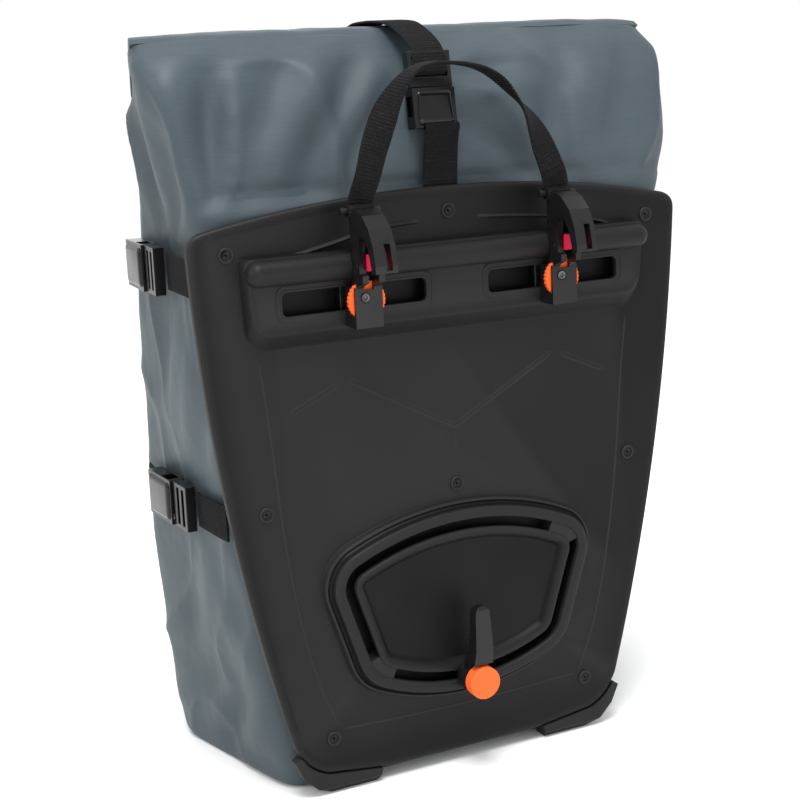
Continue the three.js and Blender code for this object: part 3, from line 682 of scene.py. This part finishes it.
def add_shield():
    slot = TRACK_INSET
    island = TRACK_INSET + TRACK_WIDTH
    section = [(-0.9, 0.3), (0, -1.2), (0.5, -3.4), (1.1, -4.1), (1.8, -4.2), (2.3, -3.8), (2.8, -3.6),
               (3.6, -4.3), (4.1, -5.2), (4.5, -7.6), (5.1, -8.6), (6, SHIELD_FACE), (9.6, SHIELD_FACE),
               (10.4, -8.8),
               (slot, -8), (slot, -5.6), (slot - 3, -5.5), (slot - 3, 2.3), (4.2, 2.3), (4.2, 0.3)]
    rings = plate_rings_from(shield_outline, section)
    points, faces = loft(rings + [rings[0]])
    piece("track_shield", points, faces, "plate", "root", (), 42)
    middle = [(island + 3, 2.3), (island + 3, -5.5), (island, -5.6), (island, -8.1), (island + 0.6, -8.8),
              (island + 1.4, SHIELD_FACE), (island + 2.4, -8.9), (island + 4, -8.2), (island + 5.4, -6.9),
              (island + 6.4, -5.6), (island + 7.2, -4.8), (island + 8, PANEL_DEPTH)]
    piece("track_panel", *loft(plate_rings_from(shield_outline, middle), True), "plate", "root",
          (), 42)


def plate_rings_from(outline, section):
    return [[(x, depth, z) for x, z in outline(inset)] for inset, depth in section]


def add_track_bridges():
    """The two short webs that carry the panel across the track, along parts of the shield's outline."""
    outer = shield_outline(TRACK_INSET - 3)
    slot = shield_outline(TRACK_INSET - 0.4)
    lip = shield_outline(TRACK_INSET + TRACK_WIDTH + 0.4)
    inner = shield_outline(TRACK_INSET + TRACK_WIDTH + 3)
    webs = []
    for low_x, high_x, low_z, high_z in ((-68, -46, 60, 86), (54, 80, 126, 150)):
        chosen = [i for i, (x, z) in enumerate(slot) if low_x < x < high_x and low_z < z < high_z]
        rings = []
        for i in chosen:
            rings.append([(*outer[i][:1], -5.4, outer[i][1]), (slot[i][0], -5.4, slot[i][1]),
                          (slot[i][0], -7.9, slot[i][1]), (lip[i][0], -7.9, lip[i][1]),
                          (lip[i][0], -5.4, lip[i][1]), (inner[i][0], -5.4, inner[i][1]),
                          (inner[i][0], 2.2, inner[i][1]), (outer[i][0], 2.2, outer[i][1])])
        webs.append(loft(rings, True))
    piece("track_bridges", *joined(webs), "plate", "root", (), 35)


ARCH_LEFT = [(-116, 305.6), (-112.7, 307.2), (-89.6, 311.6), (-67.2, 316.3), (-50.9, 320.4), (-34, 322),
             (-17.4, 322.8)]
ARCH_RIGHT = [(18.4, 322.6), (51.6, 320.3), (76, 317.4), (96.7, 313.7), (117.6, 306.6)]


def add_plate_ribs():
    """Fine moulded lines: the border and the folded ridge on the plate, and the rails' outlines."""
    border = [(-117, 258), (-113, 220), (-108, 160), (-101, 110), (-92, 70), (-80, 38)]
    side = smooth_path([(x, z, 0) for x, z in border], 4)
    lines = [ridge([(x, z) for x, z, _ in side], 1.6, 0.45),
             ridge([(-x, z) for x, z, _ in side], 1.6, 0.45),
             ridge([(x, 38 - 1.5 * math.cos(x / 50)) for x in range(-80, 81, 4)], 1.6, 0.45),
             ridge([(x, 205 + 0.54 * abs(x)) for x in range(-68, 69, 4)], 4, 0.5),
             ridge([(x, 240 - 0.45 * (x - 68)) for x in range(68, 106, 4)], 4, 0.45),
             ridge([(-x, 240 - 0.45 * (x - 68)) for x in range(68, 106, 4)], 4, 0.45),
             ridge([(0, z) for z in range(183, 206, 3)], 2, 0.3)]
    for places in (ARCH_LEFT, ARCH_RIGHT):
        path = smooth_path([(x, z, 0) for x, z in places], 3)
        lines.append(ridge([(x, z) for x, z, _ in path], 2.6, 2.4))
    for outline in slot_outlines(3.4, 5.5):
        lines.append(ridge(outline + outline[:1], 1.3, 0.6, RAIL_FACE))
    for outline in slot_outlines(0.9, 3.8):
        lines.append(ridge(outline + outline[:1], 1.0, 0.35, RAIL_FACE))
    piece("plate_ribs", *joined(lines), "plate", "root", (), 60)


def lathe(profile, sides=28):
    """A round solid about the y axis from radius and depth pairs that start and end on the axis."""
    rings = []
    for radius, depth in profile:
        rings.append([(radius * math.cos(a), depth, radius * math.sin(a))
                      for a in (2 * math.pi * i / sides for i in range(sides))])
    return loft(rings, True)


def moved(shape, x, z):
    points, faces = shape
    return [(px + x, y, pz + z) for px, y, pz in points], faces


def add_rivets():
    head = [(4.3, 0.2), (4.3, -0.5), (4.1, -0.9), (3.7, -1.05), (3.2, -0.9), (2.6, -0.35), (1.6, -0.05),
            (0.6, 0.0), (0.05, 0.0)]
    for name in RIVET_PLACES:
        low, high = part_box(name)
        x, z = ((low.x + high.x) / 2 / MM, (low.z + high.z) / 2 / MM)
        piece(name + "_head", *moved(lathe(head), x, z), "rivet", "root", [name], 50)


# ---- Bag ----------------------------------------------------------------------------------------------
# Each ring: depth and height at the back, depth and height at the front, half width at back and front.
BAG_RINGS = [
    (16, 0, 130, 0, 104, 131),
    (11, 5, 137, 5, 108, 135),
    (7.5, 22, 142, 22, 112, 139),
    (6.2, 60, 146, 60, 119, 140),
    (6.2, 130, 148, 130, 131, 142),
    (6.2, 210, 148, 205, 141, 142),
    (6.2, 290, 146, 280, 147, 140),
    (6.3, 335, 142, 318, 153, 139),
    (8.5, 362, 137, 342, 159, 141),
    (14, 390, 130, 364, 164, 143),
    (25, 410, 121, 380, 166, 143),
    (43, 424.5, 111, 391.5, 164, 141),
]
BAG_COLUMNS = 300
BAG_ROW_STEP = 2.6
BAG_SKIN = 1.6
LEAN = 5.5
LEAN_HEIGHT = 352
LEAN_SPREAD = 48


def bag_sections():
    """The bag's rings, closely spaced, from the edge of its base to its mouth."""
    back = [Vector((ring[0], ring[1], ring[4])) for ring in BAG_RINGS]
    front = [Vector((ring[2], ring[3], ring[5])) for ring in BAG_RINGS]
    lengths = [0.0]
    for before, after in zip(BAG_RINGS, BAG_RINGS[1:]):
        lengths.append(lengths[-1] + math.hypot(after[1] - before[1], after[0] - before[0]) + 1)
    count = round(lengths[-1] / BAG_ROW_STEP)
    sections = []
    for i in range(count + 1):
        target = lengths[-1] * i / count
        k = max(j for j in range(len(lengths) - 1) if lengths[j] <= target + 1e-9)
        t = (target - lengths[k]) / (lengths[k + 1] - lengths[k])
        pair = []
        for side in (back, front):
            a, b, c, d = (side[max(0, min(len(side) - 1, k + j))] for j in (-1, 0, 1, 2))
            pair.append(catmull_rom(a, b, c, d, t))
        sections.append(pair)
    return sections


def bag_point(pair, u, v, inset=0.0):
    (back_y, back_z, back_width), (front_y, front_z, front_width) = pair
    share = (v + 1) / 2
    z = back_z + (front_z - back_z) * share
    lean = LEAN * bump_at(z, LEAN_HEIGHT, LEAN_SPREAD)
    width = back_width + (front_width - back_width) * share - inset
    back_y += inset
    front_y -= inset
    return Vector((u * width + lean, back_y + (front_y - back_y) * share, z))


def bump_at(value, centre, width):
    return math.exp(-((value - centre) / width) ** 2)


def crease(x, z, start, end, width, depth):
    """A soft groove, with a low crest beside it, along the line from start to end."""
    along = Vector((end[0] - start[0], end[1] - start[1]))
    from_start = Vector((x - start[0], z - start[1]))
    share = from_start.dot(along) / along.length_squared
    fade = max(0.0, 1 - (2 * share - 1) ** 2) if 0 < share < 1 else 0.0
    off = (from_start.x * along.y - from_start.y * along.x) / along.length
    groove = math.exp(-(off / width) ** 2)
    crest = math.exp(-((off - 1.9 * width) / width) ** 2)
    return -depth * fade * (groove - 0.55 * crest)


# Grooves in the back of the bag above the plate: start and end in x and z, width and depth.
BACK_CREASES = [
    ((-104, 430), (-156, 346), 13, 7.5),
    ((-126, 404), (-140, 330), 9, 4.5),
    ((-66, 430), (-132, 340), 14, 4.2),
    ((-30, 424), (-88, 336), 11, 5.0),
    ((-16, 404), (-60, 344), 7, 3.6),
    ((12, 412), (36, 428), 5, 2.8),
    ((6, 398), (72, 406), 6, 3.0),
    ((10, 380), (64, 344), 8, 3.2),
    ((96, 430), (66, 340), 13, 4.6),
    ((144, 424), (108, 344), 12, 4.2),
]
# Grooves in the left and right sides: start and end in depth and height, width and depth.
SIDE_CREASES = [
    ((52, 318), (18, 400), 11, 5.0),
    ((78, 318), (80, 396), 10, 3.2),
    ((42, 290), (14, 220), 11, 2.8),
    ((68, 288), (98, 216), 12, 2.8),
    ((42, 180), (16, 250), 11, 2.4),
    ((40, 156), (14, 76), 12, 3.0),
    ((66, 154), (104, 66), 12, 3.0),
    ((26, 80), (80, 4), 11, 3.8),
    ((64, 64), (114, 20), 10, 2.2),
]


# Where a side, the back or the front begins, as a share of the way out from the bag's middle.
WALL_START = 0.82
WALL_REACH = 0.18
FOLDS_START = 336
PLATE_COVER = 334
PLATE_EDGE_LINE = 341
STRAP_DENT = 3.4
STRAP_CLEAR = 16
STRAP_LIMIT = 1.2


def wall_share(reach):
    """How far onto a wall of the bag a point is, from 0 to 1."""
    return max(0.0, (reach - WALL_START) / WALL_REACH)


def fabric_relief(point, u, v):
    """How far the fabric stands out from the plain bag at a point, in millimetres."""
    x, y, z = point
    side = wall_share(abs(u))
    back = wall_share(-v)
    front = wall_share(v)
    broad = noise.noise(Vector((x / 70, y / 70, z / 90))) * 4.2
    folds = (1 - abs(noise.noise(Vector((x / 64 + 7, y / 58, z / 84))))) ** 7 * 5.2 - 2.2
    fine = noise.fractal(Vector((x / 13, y / 13, z / 21)), 0.9, 2.1, 3) * 0.35
    relief = broad * (1 - 0.3 * side) + folds * (1 - 0.55 * side) + fine
    if z > FOLDS_START:
        relief += back * 1.1 * noise.noise(Vector((x / 30, 3.1, z / 26)))
        relief += back * 1.35 * sum(crease(x, z, *groove) for groove in BACK_CREASES)
        relief -= back * 3.2 * bump_at(z, PLATE_EDGE_LINE, 7)
        relief -= back * 2.4 * bump_at(x, TOP_STRAP_X, 17) * bump_at(z, 380, 40)
    flip = 1 if x < 0 else 0.8
    relief += side * flip * sum(crease(y, z, *groove) for groove in SIDE_CREASES)
    for height in STRAP_LEVELS:
        relief -= side * STRAP_DENT * bump_at(z, height, 17) * (0.5 + 0.5 * bump_at(y, 62, 50))
        relief -= front * 1.6 * bump_at(z, height, 12) * max(0.0, abs(x) / 140 - 0.6)
    relief -= front * 1.5 * bump_at(x, TOP_STRAP_X, 15) * (1 if z > 240 else 0)
    relief -= 2.0 * bump_at(z, 12, 10) * side
    under_plate = back * (1 if z < PLATE_COVER else max(0.0, (PLATE_COVER + 10 - z) / 10))
    relief = relief * (1 - under_plate) - 0.3 * under_plate
    near_strap = any(abs(z - height) < STRAP_CLEAR for height in STRAP_LEVELS)
    return min(relief, STRAP_LIMIT) if side > 0.5 and near_strap else relief


def bag_ring(pair, inset, edge):
    """One ring of the bag's skin. edge fades the folds out at the base and the mouth."""
    power = 2 / BAG_CORNER_POWER
    ring = []
    for i in range(BAG_COLUMNS):
        angle = 2 * math.pi * i / BAG_COLUMNS
        reach = (abs(math.cos(angle)) ** power + abs(math.sin(angle)) ** power) ** (-1 / power)
        u = reach * math.cos(angle)
        v = reach * math.sin(angle)
        point = bag_point(pair, u, v, inset)
        outward = Vector((u ** 9, v ** 9, 0)).normalized()
        ring.append(tuple(point + outward * fabric_relief(point, u, v) * edge))
    return ring


def add_bag():
    sections = bag_sections()
    last = len(sections) - 1
    rings = []
    for share in (0.15, 0.5, 0.8, 0.93):
        pair = [Vector((73 + (side.x - 73) * share, 1.2 - 1.2 * share, side.z * share))
                for side in sections[0]]
        rings.append(bag_ring(pair, 0, 0))
    for i, pair in enumerate(sections):
        edge = min(1.0, i / 9, 0.15 + (last - i) / 12)
        rings.append(bag_ring(pair, 0, edge))
    for i in range(last, 0, -4):
        rings.append(bag_ring(sections[i], BAG_SKIN, min(1.0, i / 9, 0.15 + (last - i) / 12)))
    piece("bag_fabric", *loft(rings, True), "fabric", "root", ["bag_body"])


def roll_section(share, x):
    """The rolled mouth's section at a place along it: a flat roll of several turns."""
    outer = [(43.6, 424.4), (47, 426.9), (56, 428.2), (68, 428.3), (80, 427.4), (91, 424.6), (100, 419.4),
             (107.6, 411), (112.4, 401), (113.4, 394.4), (111, 392.6), (104, 396), (90, 403), (75, 409.8),
             (60, 416.6), (50, 421.0), (45, 422.8)]
    middle = Vector((80, 412))
    ring = []
    for y, z in outer:
        off = Vector((y, z)) - middle
        turn = math.atan2(off.y, off.x)
        swell = 1 + 0.025 * noise.noise(Vector((x / 38, turn * 1.3, 2.5))) - 0.10 * share ** 6
        if off.y > -2:
            swell += 0.012 * math.sin(4.5 * turn + x / 60)
        ring.append((middle.x + off.x * swell, middle.y + off.y * swell))
    return ring


ROLL_HALF_BACK = 161.5
ROLL_HALF_FRONT = 141
ROLL_STEPS = 130


def add_roll():
    rings = []
    for i in range(ROLL_STEPS + 1):
        place = -1 + 2 * i / ROLL_STEPS
        ring = []
        for y, z in roll_section(abs(place), place * ROLL_HALF_BACK):
            forward = max(0.0, min(1.0, (y - 42) / 70))
            spread_out = ROLL_HALF_BACK + (ROLL_HALF_FRONT - ROLL_HALF_BACK) * forward
            wave = 0.8 * noise.noise(Vector((place * 9, y / 30, 4)))
            ring.append((place * spread_out, y, z + wave * (1 - abs(place) ** 8)))
        rings.append(ring)
    piece("roll_fabric", *loft(rings, True), "fabric", "closure", ["rolled_closure"], 50)


# ---- Straps -------------------------------------------------------------------------------------------
RIB_HEIGHT = 0.2
RIB_PITCH = 1.9
PATH_STEP = 0.45
STITCH_LENGTH = 1.9
STITCH_RADIUS = 0.32
PLATE_STRAP_WIDTH = 21


def strap_skin(path, across, width=STRAP_WIDTH):
    """Webbing along a path. across gives the direction of its width at each point of the path."""
    rings = []
    travelled = 0.0
    half = width / 2
    for i, place in enumerate(path):
        before = path[max(i - 1, 0)]
        after = path[min(i + 1, len(path) - 1)]
        if i:
            travelled += (place - before).length
        wide = across(i / (len(path) - 1)).normalized()
        face = (after - before).cross(wide).normalized()
        wide = face.cross(after - before).normalized()
        rise = STRAP_THICKNESS / 2 + RIB_HEIGHT * math.sin(2 * math.pi * travelled / RIB_PITCH)
        ring = []
        for sign, order in ((1, (-1, -0.94, -0.6, -0.2, 0.2, 0.6, 0.94, 1)),
                            (-1, (1, 0.94, 0.6, 0.2, -0.2, -0.6, -0.94, -1))):
            for share in order:
                lift = rise * (0.45 if abs(share) == 1 else 1)
                ring.append(tuple(place + wide * share * half + face * sign * lift))
        rings.append(ring)
    return loft(rings, True)


def along_x(_share):
    return Vector((1, 0, 0))


def along_z(_share):
    return Vector((0, 0, 1))


def stitch_row(start, end, face, count):
    """A row of raised stitches from start to end, standing on a face with that normal."""
    parts = []
    run = end - start
    step = run / count
    ahead = run.normalized()
    side = face.cross(ahead).normalized()
    for k in range(count):
        middle = start + step * (k + 0.5)
        rings = []
        for place, size in ((-0.5, 0.35), (-0.36, 0.9), (0, 1.1), (0.36, 0.9), (0.5, 0.35)):
            centre = middle + ahead * place * STITCH_LENGTH
            rings.append([tuple(centre + (side * math.cos(a) + face * math.sin(a)) * STITCH_RADIUS * size)
                          for a in (math.pi * j / 3 for j in range(6))])
        parts.append(loft(rings, True))
    return joined(parts)


def bar_tack(centre, wide, ahead, face, rows=3, row_gap=2.2, reach=8):
    """A sewn patch: rows of stitches across a strap."""
    parts = []
    for k in range(rows):
        middle = centre + ahead * (k - (rows - 1) / 2) * row_gap
        parts.append(stitch_row(middle - wide * reach, middle + wide * reach, face, 7))
    return joined(parts)


ROLL_STRAP_PATH = [(11.2, 400.9), (8.4, 401.0), (6.2, 402.6), (5.6, 405.4), (6.6, 409.8), (9.4, 414.2),
                   (13.6, 418), (19.6, 421.6), (29, 425.8), (39, 429), (52, 430.2), (68, 430.4),
                   (87, 428.8), (101, 421.6), (111.2, 410.6), (116.4, 399), (116.8, 395)]
ANCHOR_STRAP_PATH = [(117.6, 388.5), (124.2, 381.4), (133.2, 364.6), (140.2, 342.6), (145.2, 318.4),
                     (149, 280), (150.4, 250)]
PLATE_STRAP_PATH = [(4.2, 338), (3.8, 344), (3.4, 352), (2.2, 362), (0.6, 369), (-0.9, 372.2), (-0.2, 374.6),
                    (2.4, 375.0), (5, 374.6)]
# Each leg of the handle runs from its slide to the shared top.
HANDLE_LEGS = {
    "left": [(-61, 334), (-60.8, 340), (-57.5, 352), (-53.7, 364.5), (-48.9, 377), (-43.9, 387.6),
             (-37, 397.6), (-28.5, 404.8), (-19.5, 407.4), (-10.7, 407.6), (-1, 406.8)],
    "right": [(61, 334), (59.6, 339), (55.4, 347.4), (50.6, 358.3), (45.1, 370), (38.8, 380), (31.1, 389),
              (23.8, 396.4), (17, 401.2), (8.6, 404.8), (-1, 406.8)],
}
HANDLE_DEPTH = -20.2
CROSSBAR = (-15.2, 333.5)
LOOP_RADIUS = 3.1
HANDLE_FOOT = 334
HANDLE_SPLIT = 348


def side_path(points, across=TOP_STRAP_X):
    return smooth_path([(across, y, z) for y, z in points], PATH_STEP)


def add_top_straps():
    tape = strap_skin(side_path(ROLL_STRAP_PATH), along_x)
    piece("roll_webbing", *tape, "webbing", "closure", ["roll_strap"], 60)
    piece("anchor_webbing", *strap_skin(side_path(ANCHOR_STRAP_PATH), along_x), "webbing", "root",
          ["anchor_strap"], 60)
    plate_tape = strap_skin(side_path(PLATE_STRAP_PATH, PLATE_STRAP_X), along_x, PLATE_STRAP_WIDTH)
    piece("plate_webbing", *plate_tape, "webbing", "root", ["plate_strap"], 60)
    tack = bar_tack(Vector((TOP_STRAP_X, 151.4, 262)), Vector((1, 0, 0)), Vector((0, -0.05, 1)),
                    Vector((0, 1, 0)), 4)
    piece("anchor_stitches", *tack, "thread", "root")


# The left side's straps at each level: places in x and depth. The right side mirrors them.
SIDE_REAR = {UPPER_LEVEL: [(-149.9, 7.4), (-149.3, 20), (-148.4, 45)],
             LOWER_LEVEL: [(-137.4, 7.4), (-138.8, 20), (-140.3, 45)]}
SIDE_FRONT = {UPPER_LEVEL: [(-147.6, 101.2), (-145.2, 112), (-142.2, 124)],
              LOWER_LEVEL: [(-144.8, 101.2), (-143.6, 112), (-142.2, 124)]}


def add_side_straps():
    for level, height in (("upper", UPPER_LEVEL), ("lower", LOWER_LEVEL)):
        for label, side in (("left", 1), ("right", -1)):
            for end, points in (("rear", SIDE_REAR[height]), ("front", SIDE_FRONT[height])):
                route = smooth_path([(side * x, y, height) for x, y in points], PATH_STEP)
                name = f"side_{level}_{label}_{end}"
                piece(f"{name}_webbing", *strap_skin(route, along_z), "webbing", "root",
                      [f"{name}_strap"], 60)
            x, y = SIDE_FRONT[height][-1]
            tack = bar_tack(Vector((side * (x - 0.2), y - 6, height)), Vector((0, 0, 1)),
                            Vector((0.25 * side, 1, 0)).normalized(), Vector((-side, 0.25, 0)).normalized())
            piece(f"side_{level}_{label}_stitches", *tack, "thread", "root")


def handle_width(side):
    """Turns the webbing's width from across the plate at a leg's foot to front-to-back at the top."""
    def across(share):
        turn = math.pi / 2 * (1 - min(1.0, max(0.0, (share - 0.18) / 0.62)))
        turn = math.pi / 2 * (0.5 - 0.5 * math.cos(math.pi * turn / (math.pi / 2)))
        return Vector((side * math.sin(turn), -math.cos(turn), 0.0))
    return across


def add_handle():
    for label, side in (("left", 1), ("right", -1)):
        legs = HANDLE_LEGS[label]
        route = smooth_path([(x, HANDLE_DEPTH + max(0, 5 - (z - HANDLE_FOOT) * 0.35), z) for x, z in legs],
                            PATH_STEP)
        across = handle_width(side)
        split = max(i for i, place in enumerate(route) if place.z < HANDLE_SPLIT)
        last = len(route) - 1
        lower = strap_skin(route[:split + 1], lambda share: across(share * split / last), HANDLE_WIDTH)
        upper = strap_skin(route[split:], lambda share: across((split + share * (last - split)) / last),
                           HANDLE_WIDTH)
        end = piece(f"handle_end_{label}", *lower, "webbing", None, ["handle_strap"], 60)
        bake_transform(end)
        leg = piece(f"handle_leg_{label}", *upper, "webbing", None, (), 60)
        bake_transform(leg)
        loop = []
        for i in range(15):
            a = math.pi * (i / 14) * 1.7 - 0.35 * math.pi
            loop.append(Vector((-HOOK_OFFSET * side, CROSSBAR[0] - LOOP_RADIUS * math.cos(a),
                                CROSSBAR[1] - LOOP_RADIUS * math.sin(a))))
        wrap = strap_skin(smooth_path(loop, PATH_STEP), along_x, HANDLE_WIDTH)
        piece(f"handle_loop_{label}", *wrap, "webbing", f"release_{label}", (), 60)


# ---- Buckle crowns: the domed outer face of each female half --------------------------------------------
BUCKLE_THICKNESS = 9
CROWN_STEPS = [(0.2, 0.6), (0.0, 0.0), (0.15, -0.7), (0.7, -1.35), (1.6, -1.75), (3, -1.95)]
CROWN_SEAT = 0.6
CROWN_HALF_WIDTH = 11.6
CROWN_END_GAP = 1.6
CROWN_CORNER = 3.4
CROWN_WAIST = 0.2
TOP_CROWN_LENGTH = 21.5
SIDE_CROWN_LENGTH = 34
TOP_BUCKLE_SINE = 0.148
TOP_BUCKLE_COSINE = 0.989
# The left side's buckles at each level: place in x and depth, and turn about the upright.
SIDE_BUCKLES = {UPPER_LEVEL: ((-147, 66), math.radians(-3.6)),
                LOWER_LEVEL: ((-140.8, 66), math.radians(2.5))}


def buckle_crown(name, origin, length_axis, outward, length):
    ahead = Vector(length_axis).normalized()
    out = Vector(outward).normalized()
    wide = ahead.cross(out)
    outline = rounded_box_outline(-CROWN_HALF_WIDTH, CROWN_HALF_WIDTH, CROWN_END_GAP - length,
                                  -CROWN_END_GAP, CROWN_CORNER)
    waist = [(x * (1 - CROWN_WAIST * bump_at(z, -length * 0.42, length * 0.2)), z) for x, z in outline]
    rings = []
    for inset, rise in CROWN_STEPS:
        lift = BUCKLE_THICKNESS - rise - CROWN_SEAT
        rings.append([tuple(Vector(origin) + wide * x + ahead * z + out * lift)
                      for x, z in inset_outline(waist, inset)])
    piece(name, *loft(rings, True), "buckle", "root", (), 40)


def add_buckle_crowns():
    buckle_crown("top_buckle_crown", (TOP_STRAP_X, 12.2, 393), (0, TOP_BUCKLE_SINE, TOP_BUCKLE_COSINE),
                 (0, -TOP_BUCKLE_COSINE, TOP_BUCKLE_SINE), TOP_CROWN_LENGTH)
    for height, ((x, y), turn) in SIDE_BUCKLES.items():
        for label, side in (("left", -1), ("right", 1)):
            sine = math.sin(turn)
            cosine = math.cos(turn)
            buckle_crown(f"side_buckle_crown_{label}_{height}", (-side * x, y, height),
                         (-side * sine, -cosine, 0), (side * cosine, -sine, 0), SIDE_CROWN_LENGTH)


# ---- Frame parts that keep their shape ----------------------------------------------------------------
# For each slot: the frame's own nodes that wear it, and how far their edges are rounded.
HARD_NODES = {
    "plate": (["corner_guard_left", "corner_guard_right"], 0.8),
    "hook": (["hook_left", "hook_right", "release_slide_left", "release_slide_right",
              "lower_hook_arm"], 0.8),
    "buckle": ([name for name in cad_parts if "male" in name or "prong" in name], 0.45),
    "knob_orange": (["thumbwheel_left", "thumbwheel_right", "lower_hook_knob"], 0.5),
    "catch_red": (["catch_left", "catch_right"], 0.35),
    "steel": (["clamp_nut_left", "clamp_nut_right", "hook_screw_left", "hook_screw_right", "catch_pin_left",
               "catch_pin_right", "lower_hook_carrier"], 0.25),
}


def finish_hard_nodes():
    for slot, (names, width) in HARD_NODES.items():
        for name in names:
            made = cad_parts[name]
            made.data.materials.clear()
            made.data.materials.append(MATERIALS[slot])
            rounded(made, width)


# ---- Build --------------------------------------------------------------------------------------------
add_camera()
add_surroundings()
add_floor()
add_plate_panel()
add_rail()
add_bar()
add_shield()
add_track_bridges()
add_plate_ribs()
add_rivets()
add_bag()
add_roll()
add_top_straps()
add_side_straps()
add_handle()
add_buckle_crowns()
finish_hard_nodes()
